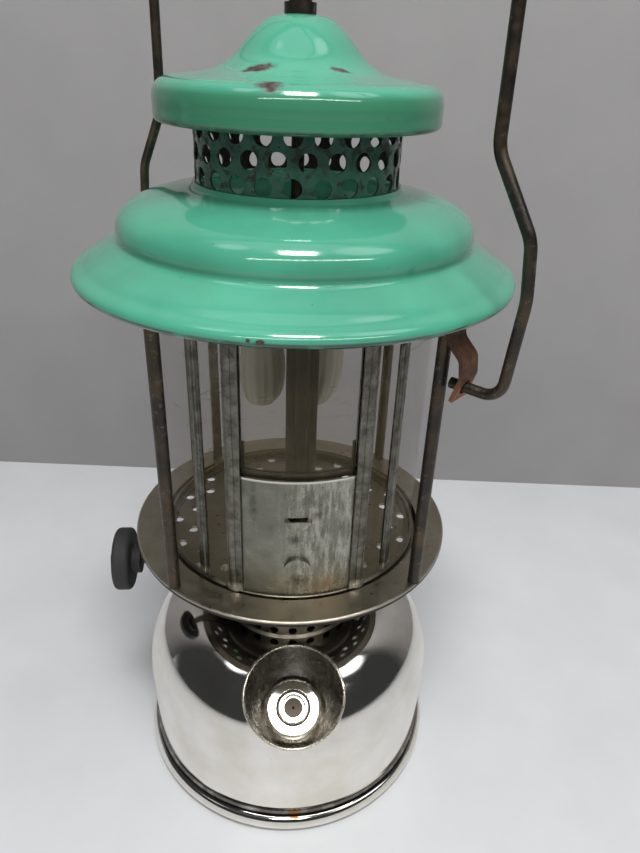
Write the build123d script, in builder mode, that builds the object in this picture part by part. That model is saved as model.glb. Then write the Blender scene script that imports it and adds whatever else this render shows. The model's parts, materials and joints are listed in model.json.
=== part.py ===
from build123d import *
import os
from math import cos, radians, sin

# Two-mantle pressure lantern: fount, burner, mica globe, enamelled ventilator and bail.
# Millimetres, +Z up, origin on the table under the middle of the fount. The pump and the door face -Y,
# and the valve wheel is on the -X side. An azimuth is an angle about Z, from the front towards +X.

# ---- Fount ----
FOUNT_R = 72.4
FOOT_R = 74.9
WALL_FOOT_Z = 13.2
WALL_TOP_Z = 50.0
CROWN_R = 40.0
CROWN_Z = 85.5
SHEET = 1.2
PAN_Z = 8.5

# ---- Pump, set in the front shoulder ----
PUMP_TILT = 62.0
PUMP_FACE_Y = -54.3
PUMP_FACE_Z = 62.9
LIP_TILT = 50.0
LIP_Y = -54.3
LIP_Z = 70.7
LIP_R = 22.1
CUP_FLOOR_R = 13.2
CUP_SHEET = 1.0
BARREL_R = 11.0
BARREL_BORE = 10.0
BARREL_LENGTH = 46.0
PUMP_CAP_R = 12.0
KNOB_R = 7.2
ROD_R = 2.5
CAP_THICK = 2.2
FLOOR_DROP = CAP_THICK + 0.2
LEATHER_DEPTH = BARREL_LENGTH - 9.0

# ---- Filler, behind the collar ----
FILLER_Y = 53.0
FILLER_R = 9.0
FILLER_TOP_Z = 92.0
FILLER_CAP_R = 13.5

# ---- Collar and base plate ----
COLLAR_R = 33.0
COLLAR_HOLES = 24
COLLAR_HOLE_D = 4.0
PLATE_R = 72.0
PLATE_Z = 134.0
PLATE_SHEET = 1.2
PLATE_RIM = 2.4
RIM_BEVEL = 0.4
STEP_R = 59.8
FLOOR_Z = 131.0
VENT_RINGS = ((46.6, 0.0), (53.3, 10.0))
VENT_COUNT = 18
VENT_D = 4.4
WELL_R = 16.5

# ---- Frame ----
ROD_CIRCLE = 70.2
FRAME_ROD_R = 2.5
TENON_R = 1.0
ROD_TOP_Z = 257.0
TOP_RING_IN = 63.0
TOP_RING_OUT = 72.8
BRIDGE_FOOT_Z = 259.0
BRIDGE_TOP_Z = 274.5
BRIDGE_SHEET = 1.5
EAR_HOLE_D = 5.4
EAR_HALF_WIDTH = 5.2
BAIL_AZIMUTH = 45.0
BAIL_WIRE_D = 4.0
BAIL_HINGE_Z = 227.5

# ---- Mica globe ----
GLOBE_R = 56.4
MICA_SHEET = 0.4
GLOBE_TOP_Z = 251.0
DOOR_HALF_ANGLE = 21.3
DOOR_BOTTOM_Z = 134.2
DOOR_TOP_Z = 189.5
STRIP_HALF_ANGLE = 2.6
DOOR_STRIP_AZIMUTH = 24.6
DOOR_IN = GLOBE_R + 1.0
DOOR_OUT = GLOBE_R + 1.6
LOUVRES = ((172.4, -1), (150.6, 1))
LOUVRE_HALF = 5.2
LOUVRE_RISE = 3.8
LOUVRE_DEPTH = 1.6
LOUVRE_WALL = 1.2
LOUVRE_SLOT = LOUVRE_HALF - LOUVRE_WALL
SIDE_STRIP_AZIMUTHS = (41.5, 138.5, 221.5, 318.5)

# ---- Valve and burner ----
VALVE_Z = 107.5
VALVE_R = 9.5
VALVE_TOP_Z = 129.5
STEM_R = 2.5
STEM_END_R = 1.7
RUNNING_FIT = 0.06
WHEEL_R = 15.0
WHEEL_X = -77.0
WHEEL_THICK = 8.0
MIX_TUBE = (1.0, -4.0)
MIX_R = 4.5
GENERATOR = (3.0, -13.2)
GENERATOR_R = 2.8
GENERATOR_THIN_R = 2.2
GENERATOR_STEP_Z = 188.0
AIR_TUBE = (8.0, -5.0)
AIR_R = 2.2
MANTLE_X = 13.5
MANTLE_Y = 8.0
MANTLE_R = 10.0
MANTLE_TOP_Z = 229.0
MANTLE_BOTTOM_Z = 187.0
BURNER_Z = 236.0

# ---- Ventilator ----
ENAMEL = 1.2
BRIM_R = 84.3
BRIM_Z = 253.8
VALLEY_R = 66.0
VALLEY_Z = 264.3
BAND_R = 37.5
BAND_SHEET = 0.9
BAND_BOTTOM_Z = 284.6
BAND_TOP_Z = 310.0
BAND_ROWS = ((288.3, -4.8), (296.1, 2.6), (303.6, -4.8))
BAND_HOLES = 24
BAND_HOLE_D = 6.2
SKIRT_R = 50.7
SKIRT_Z = 305.7
CAP_TOP_Z = 337.0
STUD_R = 2.4
STUD_TOP_Z = 353.0

os.makedirs("parts", exist_ok=True)


def outward(azimuth):
    """Level unit vector that points out at an azimuth."""
    return (sin(radians(azimuth)), -cos(radians(azimuth)), 0)


def around(count, height, first=0.0):
    """Places on the lantern's axis at a height, each facing out, evenly turned from the first azimuth."""
    turns = [first + 360 / count * k for k in range(count)]
    return [Plane((0, 0, height), z_dir=outward(a)).location for a in turns]


def ring_sector(inner, outer, middle, half_angle):
    """Flat face between two radii and half_angle to each side of an azimuth."""
    with BuildSketch() as sector:
        with BuildLine():
            far = CenterArc((0, 0), outer, middle - half_angle - 90, 2 * half_angle)
            near = CenterArc((0, 0), inner, middle - half_angle - 90, 2 * half_angle)
            Line(far @ 0, near @ 0)
            Line(far @ 1, near @ 1)
        make_face()
    return sector.sketch


# Outside of the fount as a solid: a straight wall, and a shoulder that is a quarter of an ellipse.
def fount_envelope(grow):
    """Solid inside of the fount's outline, grown by a distance."""
    with BuildPart() as body:
        with BuildSketch(Plane.XZ):
            with BuildLine():
                base = Line((0, WALL_FOOT_Z), (FOUNT_R - 1.0 + grow, WALL_FOOT_Z))
                Line(base @ 1, (FOUNT_R + grow, WALL_TOP_Z))
                shoulder = EllipticalCenterArc(
                    (CROWN_R, WALL_TOP_Z),
                    FOUNT_R - CROWN_R + grow,
                    CROWN_Z - WALL_TOP_Z + grow,
                    start_angle=0,
                    arc_size=90,
                )
                crown = Line(shoulder @ 1, (0, CROWN_Z + grow))
                Line(crown @ 1, base @ 0)
            make_face()
        revolve(axis=Axis.Z)
    return body.part


pump_plane = Plane(
    (0, PUMP_FACE_Y, PUMP_FACE_Z),
    x_dir=(1, 0, 0),
    z_dir=(0, -cos(radians(PUMP_TILT)), sin(radians(PUMP_TILT))),
)
lip_plane = Plane(
    (0, LIP_Y, LIP_Z),
    x_dir=(1, 0, 0),
    z_dir=(0, -cos(radians(LIP_TILT)), sin(radians(LIP_TILT))),
)

def recess(shrink, deeper):
    """Smooth bowl of the pump recess, from above its lip down to its floor."""
    with BuildPart() as bowl:
        with BuildSketch(lip_plane.offset(12)):
            Circle(LIP_R + 1.0 - shrink)
        with BuildSketch(lip_plane.offset(1)):
            Circle(LIP_R - shrink)
        with BuildSketch(pump_plane.offset(-FLOOR_DROP - deeper)):
            Circle(CUP_FLOOR_R + CUP_SHEET - shrink)
        loft()
    return bowl.part


pump_axis = Axis(pump_plane.origin, pump_plane.z_dir)
recess_outside = recess(0, CUP_SHEET)
recess_inside = recess(CUP_SHEET, 0)

# ================= Fount =================

with BuildPart() as fount_shell:
    add(fount_envelope(0))
    add(fount_envelope(-SHEET), mode=Mode.SUBTRACT)
    with BuildSketch(Plane.XY):
        Circle(FOUNT_R - SHEET - 1.0)
    extrude(amount=WALL_FOOT_Z + SHEET, mode=Mode.SUBTRACT)
    add(recess_outside, mode=Mode.SUBTRACT)
    with Locations((0, 0, CROWN_Z), (0, FILLER_Y, CROWN_Z)):
        Cylinder(VALVE_R, 30, mode=Mode.SUBTRACT)
fount_shell.part.label = "fount_shell"

with BuildPart() as fount_bottom:
    with BuildSketch(Plane.XZ):
        with BuildLine():
            Polyline((0, PAN_Z + 1.5), (0, PAN_Z), (66.0, PAN_Z), (68.0, 1.5), (69.5, 0), (72.4, 0))
            bead = ThreePointArc((72.4, 0), (FOOT_R, 3.8), (73.4, 8.2))
            groove = ThreePointArc(bead @ 1, (71.3, 10.6), (71.8, WALL_FOOT_Z))
            Polyline(groove @ 1, (69.8, WALL_FOOT_Z), (69.8, PAN_Z + 1.5), (0, PAN_Z + 1.5))
        make_face()
    revolve(axis=Axis.Z)
fount_bottom.part.label = "fount_bottom"

with BuildPart() as filler_neck:
    with Locations((0, FILLER_Y, CROWN_Z - 8)):
        Cylinder(FILLER_R - 0.1, FILLER_TOP_Z - CROWN_Z + 8, align=(Align.CENTER, Align.CENTER, Align.MIN))
        Cylinder(FILLER_R - 2.4, 40, mode=Mode.SUBTRACT)
filler_neck.part.label = "filler_neck"

with BuildPart() as filler_gasket:
    with Locations((0, FILLER_Y, FILLER_TOP_Z)):
        Cylinder(FILLER_R, 1.2, align=(Align.CENTER, Align.CENTER, Align.MIN))
        Cylinder(FILLER_R - 2.4, 4, mode=Mode.SUBTRACT)
filler_gasket.part.label = "filler_gasket"

with BuildPart() as filler_cap:
    with BuildSketch(Plane((0, FILLER_Y, FILLER_TOP_Z - 4.5))):
        Circle(FILLER_CAP_R)
        with PolarLocations(FILLER_CAP_R + 1.2, 20):
            Circle(2.0, mode=Mode.SUBTRACT)
    extrude(amount=9.0)
    fillet(filler_cap.faces().sort_by(Axis.Z)[-1].outer_wire().edges(), 0.8)
    with BuildSketch(Plane((0, FILLER_Y, FILLER_TOP_Z - 4.5))):
        Circle(FILLER_R + 0.4)
    extrude(amount=5.9, mode=Mode.SUBTRACT)
    with Locations((0, FILLER_Y, FILLER_TOP_Z + 4.5)):
        Cylinder(4.5, 3.0, align=(Align.CENTER, Align.CENTER, Align.MIN))
filler_cap.part.label = "filler_cap"

# ================= Pump =================

with BuildPart() as pump_cup:
    add(recess_outside)
    add(recess_inside, mode=Mode.SUBTRACT)
    with BuildSketch(pump_plane.offset(-FLOOR_DROP)):
        Circle(CUP_FLOOR_R + CUP_SHEET)
    extrude(amount=30, taper=-40, mode=Mode.SUBTRACT)
    with BuildSketch(pump_plane):
        Circle(BARREL_R)
    extrude(amount=-20, mode=Mode.SUBTRACT)
    add(fount_envelope(0.6), mode=Mode.INTERSECT)
pump_cup.part.label = "pump_cup"

with BuildPart() as pump_barrel:
    with BuildSketch(pump_plane.offset(-FLOOR_DROP)):
        Circle(BARREL_R)
        Circle(BARREL_BORE, mode=Mode.SUBTRACT)
    extrude(amount=-BARREL_LENGTH)
pump_barrel.part.label = "pump_barrel"

with BuildPart() as check_valve:
    with BuildSketch(pump_plane.offset(-FLOOR_DROP - BARREL_LENGTH)):
        Circle(BARREL_R)
    extrude(amount=-2.0)
    with BuildSketch(pump_plane.offset(-FLOOR_DROP - BARREL_LENGTH - 2.0)):
        Circle(4.0)
    extrude(amount=-4.0)
    with BuildSketch(pump_plane.offset(-FLOOR_DROP - BARREL_LENGTH)):
        Circle(1.2)
    extrude(amount=-20, mode=Mode.SUBTRACT)
check_valve.part.label = "check_valve"

with BuildPart() as pump_cap:
    with BuildSketch(pump_plane.offset(-FLOOR_DROP)):
        Circle(PUMP_CAP_R)
        Circle(KNOB_R + 0.5, mode=Mode.SUBTRACT)
    extrude(amount=CAP_THICK)
    fillet(pump_cap.faces().sort_by(pump_axis)[-1].edges(), 0.5)
pump_cap.part.label = "pump_cap"

with BuildPart() as pump_knob:
    with BuildSketch(pump_plane.offset(-FLOOR_DROP + 0.4)):
        Circle(KNOB_R)
    extrude(amount=FLOOR_DROP + 0.6)
    with BuildSketch(pump_plane.offset(1.0)):
        Circle(KNOB_R - 2.2)
    extrude(amount=-1.4, mode=Mode.SUBTRACT)
    fillet(pump_knob.faces().sort_by(pump_axis)[-1].edges(), 0.8)
    with BuildSketch(pump_plane.offset(1.0)):
        Circle(0.6)
    extrude(amount=-6, mode=Mode.SUBTRACT)
pump_knob.part.label = "pump_knob"

with BuildPart() as pump_rod:
    with BuildSketch(pump_plane.offset(-FLOOR_DROP + 0.4)):
        Circle(ROD_R)
        Circle(0.8, mode=Mode.SUBTRACT)
    extrude(amount=-LEATHER_DEPTH)
pump_rod.part.label = "pump_rod"

leather_plane = pump_plane.offset(-FLOOR_DROP + 0.4 - LEATHER_DEPTH)
with BuildPart() as pump_leather:
    with BuildSketch(leather_plane):
        Circle(BARREL_BORE - 0.3)
    extrude(amount=-5.0)
    with BuildSketch(leather_plane.offset(-5.0)):
        Circle(BARREL_BORE - 1.8)
    extrude(amount=3.5, mode=Mode.SUBTRACT)
pump_leather.part.label = "pump_leather"

with BuildPart() as leather_nut:
    with BuildSketch(leather_plane.offset(-1.5)):
        RegularPolygon(4.5, 6)
    extrude(amount=-3.0)
leather_nut.part.label = "leather_nut"

# ================= Collar and plate =================

with BuildPart() as collar:
    with BuildSketch(Plane.XZ):
        with BuildLine():
            Polyline(
                (COLLAR_R - 1.0, CROWN_Z + 0.1),
                (COLLAR_R + 1.2, CROWN_Z + 0.1),
                (COLLAR_R, CROWN_Z + 1.3),
                (COLLAR_R, FLOOR_Z - PLATE_SHEET - 1.0),
                (COLLAR_R + 4.0, FLOOR_Z - PLATE_SHEET - 1.0),
                (COLLAR_R + 4.0, FLOOR_Z - PLATE_SHEET),
                (COLLAR_R - 1.0, FLOOR_Z - PLATE_SHEET),
                close=True,
            )
        make_face()
    revolve(axis=Axis.Z)
    with Locations(*around(COLLAR_HOLES, 89.3), *around(COLLAR_HOLES, 122.0, 7.5)):
        Cylinder(COLLAR_HOLE_D / 2, 45, align=(Align.CENTER, Align.CENTER, Align.MIN), mode=Mode.SUBTRACT)
    with Locations(*around(1, VALVE_Z, -90)):
        Cylinder(6.0, 45, align=(Align.CENTER, Align.CENTER, Align.MIN), mode=Mode.SUBTRACT)
collar.part.label = "collar"

with BuildPart() as base_plate:
    with BuildSketch(Plane.XZ):
        with BuildLine():
            Polyline(
                (WELL_R, FLOOR_Z),
                (STEP_R - 1.0, FLOOR_Z),
                (STEP_R, PLATE_Z),
                (PLATE_R - RIM_BEVEL, PLATE_Z),
                (PLATE_R, PLATE_Z - RIM_BEVEL),
                (PLATE_R, PLATE_Z - PLATE_RIM),
                (PLATE_R - PLATE_SHEET, PLATE_Z - PLATE_RIM),
                (PLATE_R - PLATE_SHEET, PLATE_Z - PLATE_SHEET),
                (STEP_R + PLATE_SHEET, PLATE_Z - PLATE_SHEET),
                (STEP_R + 0.2, FLOOR_Z - PLATE_SHEET),
                (WELL_R, FLOOR_Z - PLATE_SHEET),
                close=True,
            )
        make_face()
    revolve(axis=Axis.Z)
    for ring_radius, first_azimuth in VENT_RINGS:
        with BuildSketch(Plane.XY.offset(FLOOR_Z)):
            with PolarLocations(ring_radius, VENT_COUNT, start_angle=first_azimuth - 90):
                Circle(VENT_D / 2)
        extrude(amount=-4, mode=Mode.SUBTRACT)
    with BuildSketch(Plane.XY.offset(PLATE_Z)):
        with PolarLocations(ROD_CIRCLE, 4, start_angle=45):
            Circle(TENON_R)
    extrude(amount=-4, mode=Mode.SUBTRACT)
base_plate.part.label = "base_plate"

# ================= Frame =================

with BuildPart() as frame_rods:
    with BuildSketch(Plane.XY.offset(PLATE_Z)):
        with PolarLocations(ROD_CIRCLE, 4, start_angle=45):
            Circle(FRAME_ROD_R)
    extrude(amount=ROD_TOP_Z - PLATE_Z)
    with BuildSketch(Plane.XY.offset(PLATE_Z)):
        with PolarLocations(ROD_CIRCLE, 4, start_angle=45):
            Circle(TENON_R)
    extrude(amount=-PLATE_RIM)
frame_rods.part.label = "frame_rods"

with BuildPart() as frame_top_ring:
    with BuildSketch(Plane.XZ):
        with BuildLine():
            Polyline(
                (TOP_RING_IN, ROD_TOP_Z),
                (TOP_RING_OUT, ROD_TOP_Z),
                (TOP_RING_OUT, ROD_TOP_Z + 1.5),
                (TOP_RING_IN + 3.4, ROD_TOP_Z + 1.5),
                (TOP_RING_IN + 3.4, VALLEY_Z - ENAMEL - 0.6),
                (TOP_RING_IN + 1.9, VALLEY_Z - ENAMEL - 0.6),
                (TOP_RING_IN + 1.9, ROD_TOP_Z + 1.5),
                (TOP_RING_IN, ROD_TOP_Z + 1.5),
                close=True,
            )
        make_face()
    revolve(axis=Axis.Z)
frame_top_ring.part.label = "frame_top_ring"

with BuildPart() as top_bridge:
    with BuildSketch(Plane.XZ):
        with BuildLine():
            lower = FilletPolyline(
                (-64.6, BRIDGE_FOOT_Z),
                (-50.0, BRIDGE_FOOT_Z),
                (-36.0, BRIDGE_TOP_Z - BRIDGE_SHEET),
                (36.0, BRIDGE_TOP_Z - BRIDGE_SHEET),
                (50.0, BRIDGE_FOOT_Z),
                (64.6, BRIDGE_FOOT_Z),
                radius=5,
            )
            upper = FilletPolyline(
                (-64.6, BRIDGE_FOOT_Z + BRIDGE_SHEET),
                (-50.6, BRIDGE_FOOT_Z + BRIDGE_SHEET),
                (-36.6, BRIDGE_TOP_Z),
                (36.6, BRIDGE_TOP_Z),
                (50.6, BRIDGE_FOOT_Z + BRIDGE_SHEET),
                (64.6, BRIDGE_FOOT_Z + BRIDGE_SHEET),
                radius=5,
            )
            Line(lower @ 0, upper @ 0)
            Line(lower @ 1, upper @ 1)
        make_face()
    extrude(amount=6, both=True)
top_bridge.part.label = "top_bridge"

bail_plane = Plane((0, 0, 0), x_dir=outward(BAIL_AZIMUTH), z_dir=outward(BAIL_AZIMUTH - 90))

with BuildPart() as bail_ears:
    with BuildSketch(bail_plane):
        with BuildLine():
            inner = FilletPolyline(
                (73.0, 256.6), (73.4, 243.5), (79.2, 238.0), (80.0, 232.0), (77.2, 223.0), radius=3
            )
            outer = FilletPolyline(
                (74.5, 256.6), (74.9, 244.2), (80.6, 238.8), (81.5, 232.0), (78.7, 222.6), radius=4
            )
            Line(inner @ 0, outer @ 0)
            Line(inner @ 1, outer @ 1)
        make_face()
    extrude(amount=EAR_HALF_WIDTH, both=True)
    with BuildSketch(Plane((0, 0, BAIL_HINGE_Z), z_dir=outward(BAIL_AZIMUTH)).offset(60)):
        Circle(EAR_HOLE_D / 2)
    extrude(amount=40, mode=Mode.SUBTRACT)
    mirror(about=Plane((0, 0, 0), z_dir=outward(BAIL_AZIMUTH)))
bail_ears.part.label = "bail_ears"

with BuildPart() as bail:
    with BuildLine(bail_plane) as bail_line:
        half = FilletPolyline(
            (74.6, BAIL_HINGE_Z),
            (93.6, BAIL_HINGE_Z),
            (96.4, 262.0),
            (94.4, 280.0),
            (79.4, 304.0),
            (77.4, 414.0),
            (9.0, 414.0),
            (5.0, 420.0),
            (0.0, 420.0),
            radius=[7, 30, 14, 14, 58, 3, 2.5],
        )
        mirror(half, about=Plane((0, 0, 0), z_dir=outward(BAIL_AZIMUTH)))
    with BuildSketch(Plane(bail_line.wire() @ 0, z_dir=bail_line.wire() % 0)):
        Circle(BAIL_WIRE_D / 2)
    sweep(path=bail_line.wire())
bail.part.label = "bail"

# ================= Mica globe =================

with BuildPart() as globe_bottom_ring:
    with BuildSketch(Plane.XZ):
        with BuildLine():
            Polyline(
                (GLOBE_R - 2.0, FLOOR_Z + 0.1),
                (GLOBE_R + 1.6, FLOOR_Z + 0.1),
                (GLOBE_R + 1.6, DOOR_BOTTOM_Z - 0.4),
                (GLOBE_R + 0.6, DOOR_BOTTOM_Z + 0.4),
                (GLOBE_R, DOOR_BOTTOM_Z + 0.4),
                (GLOBE_R, FLOOR_Z + 1.1),
                (GLOBE_R - 2.0, FLOOR_Z + 1.1),
                close=True,
            )
        make_face()
    revolve(axis=Axis.Z)
globe_bottom_ring.part.label = "globe_bottom_ring"

with BuildPart() as globe_top_ring:
    with BuildSketch(Plane.XY.offset(GLOBE_TOP_Z - 5.0)):
        Circle(GLOBE_R + 3.4)
        Circle(GLOBE_R + 2.6, mode=Mode.SUBTRACT)
    extrude(amount=6.0)
    with BuildSketch(Plane.XY.offset(GLOBE_TOP_Z)):
        Circle(GLOBE_R + 2.6)
        Circle(GLOBE_R - 2.0, mode=Mode.SUBTRACT)
    extrude(amount=1.0)
globe_top_ring.part.label = "globe_top_ring"

with BuildPart() as mica_globe:
    with BuildSketch(Plane.XY.offset(FLOOR_Z + 1.1)):
        Circle(GLOBE_R)
        Circle(GLOBE_R - MICA_SHEET, mode=Mode.SUBTRACT)
    extrude(amount=GLOBE_TOP_Z - FLOOR_Z - 1.1)
    with BuildSketch(Plane.XY.offset(FLOOR_Z)):
        add(ring_sector(40, 70, 0, DOOR_HALF_ANGLE - 0.5))
    extrude(amount=DOOR_TOP_Z - FLOOR_Z, mode=Mode.SUBTRACT)
mica_globe.part.label = "mica_globe"

with BuildPart() as door_frame:
    with BuildSketch(Plane.XY.offset(FLOOR_Z + 1.1)):
        add(ring_sector(GLOBE_R - 1.8, GLOBE_R - MICA_SHEET, 22.6, 1.4))
        add(ring_sector(GLOBE_R - 1.8, GLOBE_R - MICA_SHEET, -22.6, 1.4))
    extrude(amount=71.0)
    with BuildSketch(Plane.XY.offset(DOOR_TOP_Z - 0.5)):
        add(ring_sector(GLOBE_R - 1.8, GLOBE_R - MICA_SHEET, 0, 22.6))
    extrude(amount=3.0)
door_frame.part.label = "door_frame"

with BuildPart() as globe_strips:
    with BuildSketch(Plane.XY.offset(DOOR_BOTTOM_Z + 0.4)):
        for azimuth in SIDE_STRIP_AZIMUTHS:
            add(ring_sector(GLOBE_R, GLOBE_R + 0.8, azimuth, STRIP_HALF_ANGLE))
    extrude(amount=GLOBE_TOP_Z - DOOR_BOTTOM_Z - 0.4)
globe_strips.part.label = "globe_strips"

with BuildPart() as door_guides:
    with BuildSketch(Plane.XY.offset(DOOR_BOTTOM_Z + 0.4)):
        for side in (-1, 1):
            add(ring_sector(GLOBE_R, GLOBE_R + 0.7, side * DOOR_STRIP_AZIMUTH, 3.0))
            add(ring_sector(GLOBE_R + 0.7, GLOBE_R + 1.9, side * 25.6, 2.0))
            add(ring_sector(GLOBE_R + 1.9, GLOBE_R + 2.6, side * DOOR_STRIP_AZIMUTH, 3.0))
    extrude(amount=GLOBE_TOP_Z - DOOR_BOTTOM_Z - 0.4)
door_guides.part.label = "door_guides"

with BuildPart() as globe_door:
    with BuildSketch(Plane.XY.offset(DOOR_BOTTOM_Z + 0.6)):
        add(ring_sector(DOOR_IN, DOOR_OUT, 0, 23.2))
    extrude(amount=DOOR_TOP_Z - DOOR_BOTTOM_Z - 0.6)
    for louvre_z, up in LOUVRES:
        with BuildSketch(Plane.XZ.offset(DOOR_IN - 1.0)):
            with BuildLine():
                flat = Line((-LOUVRE_HALF, louvre_z), (LOUVRE_HALF, louvre_z))
                ThreePointArc(flat @ 0, (0, louvre_z + LOUVRE_RISE * up), flat @ 1)
            make_face()
        extrude(amount=DOOR_OUT - DOOR_IN + 1.0 + LOUVRE_DEPTH)
        with BuildSketch(Plane.XZ.offset(DOOR_IN - 2.0)):
            with BuildLine():
                slot = Line((-LOUVRE_SLOT, louvre_z - up), (LOUVRE_SLOT, louvre_z - up))
                ThreePointArc(slot @ 0, (0, louvre_z + (LOUVRE_RISE - LOUVRE_WALL) * up), slot @ 1)
            make_face()
        extrude(amount=DOOR_OUT - DOOR_IN + 2.0 + LOUVRE_DEPTH - 0.5, mode=Mode.SUBTRACT)
    with BuildSketch(Plane.XY.offset(DOOR_BOTTOM_Z)):
        Circle(DOOR_IN)
    extrude(amount=60, mode=Mode.SUBTRACT)
globe_door.part.label = "globe_door"

# ================= Valve and burner =================

with BuildPart() as valve_body:
    with BuildSketch(Plane.XY.offset(CROWN_Z - SHEET)):
        Circle(VALVE_R - 0.1)
    extrude(amount=3.0)
    with BuildSketch(Plane.XY.offset(CROWN_Z)):
        RegularPolygon(12.0, 6)
    extrude(amount=6.0)
    with BuildSketch(Plane.XY.offset(CROWN_Z + 6)):
        Circle(VALVE_R)
    extrude(amount=VALVE_TOP_Z - CROWN_Z - 6)
    with Locations(*around(1, VALVE_Z, -90)):
        Cylinder(6.0, 17, align=(Align.CENTER, Align.CENTER, Align.MIN))
        Cylinder(STEM_R + RUNNING_FIT, 30, align=(Align.CENTER, Align.CENTER, Align.MIN), mode=Mode.SUBTRACT)
valve_body.part.label = "valve_body"

with BuildPart() as fuel_tube:
    with Locations((0, 0, PAN_Z + 3.5)):
        Cylinder(2.5, CROWN_Z - SHEET - PAN_Z - 3.5, align=(Align.CENTER, Align.CENTER, Align.MIN))
        Cylinder(1.6, 200, mode=Mode.SUBTRACT)
fuel_tube.part.label = "fuel_tube"

with BuildPart() as packing_nut:
    with BuildSketch(Plane.YZ.offset(-17)):
        with Locations((0, VALVE_Z)):
            RegularPolygon(5.0, 6)
            Circle(STEM_R + RUNNING_FIT, mode=Mode.SUBTRACT)
    extrude(amount=-7.0)
packing_nut.part.label = "packing_nut"

with BuildPart() as valve_stem:
    with BuildSketch(Plane.YZ.offset(-3)):
        with Locations((0, VALVE_Z)):
            Circle(STEM_R)
    extrude(amount=WHEEL_X + 3 - 4.0)
    with BuildSketch(Plane.YZ.offset(WHEEL_X - 4.0)):
        with Locations((0, VALVE_Z)):
            Circle(STEM_END_R)
    extrude(amount=-6.0)
valve_stem.part.label = "valve_stem"

with BuildPart() as valve_wheel:
    with BuildSketch(Plane.YZ.offset(WHEEL_X)):
        with Locations((0, VALVE_Z)):
            Circle(WHEEL_R)
    extrude(amount=-WHEEL_THICK)
    fillet(valve_wheel.edges().filter_by(GeomType.CIRCLE), 2.0)
    with BuildSketch(Plane.YZ.offset(WHEEL_X + 4.0)):
        with Locations((0, VALVE_Z)):
            Circle(7.0)
    extrude(amount=-6.0)
    with BuildSketch(Plane.YZ.offset(WHEEL_X + 4.0)):
        with Locations((0, VALVE_Z)):
            Circle(STEM_R)
    extrude(amount=-8.0, mode=Mode.SUBTRACT)
    with BuildSketch(Plane.YZ.offset(WHEEL_X + 4.0)):
        with Locations((0, VALVE_Z)):
            Circle(STEM_END_R)
    extrude(amount=-30.0, mode=Mode.SUBTRACT)
valve_wheel.part.label = "valve_wheel"

with BuildPart() as wheel_nut:
    with BuildSketch(Plane.YZ.offset(WHEEL_X - WHEEL_THICK)):
        with Locations((0, VALVE_Z)):
            RegularPolygon(3.6, 6)
            Circle(STEM_END_R, mode=Mode.SUBTRACT)
    extrude(amount=-2.4)
wheel_nut.part.label = "wheel_nut"

with BuildPart() as mixing_tube:
    with BuildSketch(Plane.XY.offset(FLOOR_Z - 1.2)):
        with Locations(MIX_TUBE):
            Circle(MIX_R)
            Circle(MIX_R - 0.8, mode=Mode.SUBTRACT)
    extrude(amount=BURNER_Z - FLOOR_Z + 1.2)
mixing_tube.part.label = "mixing_tube"

with BuildPart() as generator:
    with BuildSketch(Plane.XY.offset(VALVE_TOP_Z)):
        with Locations(GENERATOR):
            Circle(GENERATOR_THIN_R)
    extrude(amount=BURNER_Z - VALVE_TOP_Z - 0.4)
    with BuildSketch(Plane.XY.offset(GENERATOR_STEP_Z)):
        with Locations(GENERATOR):
            Circle(GENERATOR_R)
    extrude(amount=BURNER_Z - GENERATOR_STEP_Z - 0.4)
generator.part.label = "generator"

with BuildPart() as jam_nut:
    with BuildSketch(Plane.XY.offset(FLOOR_Z + 0.4)):
        with Locations(GENERATOR):
            RegularPolygon(4.6, 6)
            Circle(GENERATOR_THIN_R, mode=Mode.SUBTRACT)
    extrude(amount=6.0)
jam_nut.part.label = "jam_nut"

with BuildPart() as air_tube:
    with BuildSketch(Plane.XY.offset(FLOOR_Z - 1.2)):
        with Locations(AIR_TUBE):
            Circle(AIR_R)
            Circle(AIR_R - 0.6, mode=Mode.SUBTRACT)
    extrude(amount=BURNER_Z - FLOOR_Z + 1.2)
air_tube.part.label = "air_tube"

with BuildPart() as well_cover:
    with BuildSketch(Plane.XY.offset(FLOOR_Z)):
        Circle(WELL_R + 9.0)
        with Locations(MIX_TUBE):
            Circle(MIX_R, mode=Mode.SUBTRACT)
        with Locations(AIR_TUBE):
            Circle(AIR_R, mode=Mode.SUBTRACT)
        with Locations(GENERATOR):
            Circle(GENERATOR_THIN_R, mode=Mode.SUBTRACT)
    extrude(amount=0.4)
well_cover.part.label = "well_cover"

with BuildPart() as burner_head:
    with BuildSketch(Plane.XY.offset(BURNER_Z)):
        with Locations((0, MANTLE_Y)):
            SlotCenterToCenter(2 * MANTLE_X, 13.0)
        with Locations((3.2, -3.0)):
            RectangleRounded(16.0, 24.0, 4.0)
    extrude(amount=9.0)
    fillet(burner_head.faces().sort_by(Axis.Z)[-1].edges(), 2.0)
burner_head.part.label = "burner_head"

with BuildPart() as burner_caps:
    with BuildSketch(Plane.XY.offset(BURNER_Z)):
        with Locations((-MANTLE_X, MANTLE_Y), (MANTLE_X, MANTLE_Y)):
            Circle(6.0)
            Circle(4.4, mode=Mode.SUBTRACT)
    extrude(amount=-5.6)
    with BuildSketch(Plane.XY.offset(BURNER_Z - 2.0)):
        with Locations((-MANTLE_X, MANTLE_Y), (MANTLE_X, MANTLE_Y)):
            Circle(7.2)
            Circle(4.4, mode=Mode.SUBTRACT)
    extrude(amount=2.0)
burner_caps.part.label = "burner_caps"

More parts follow.
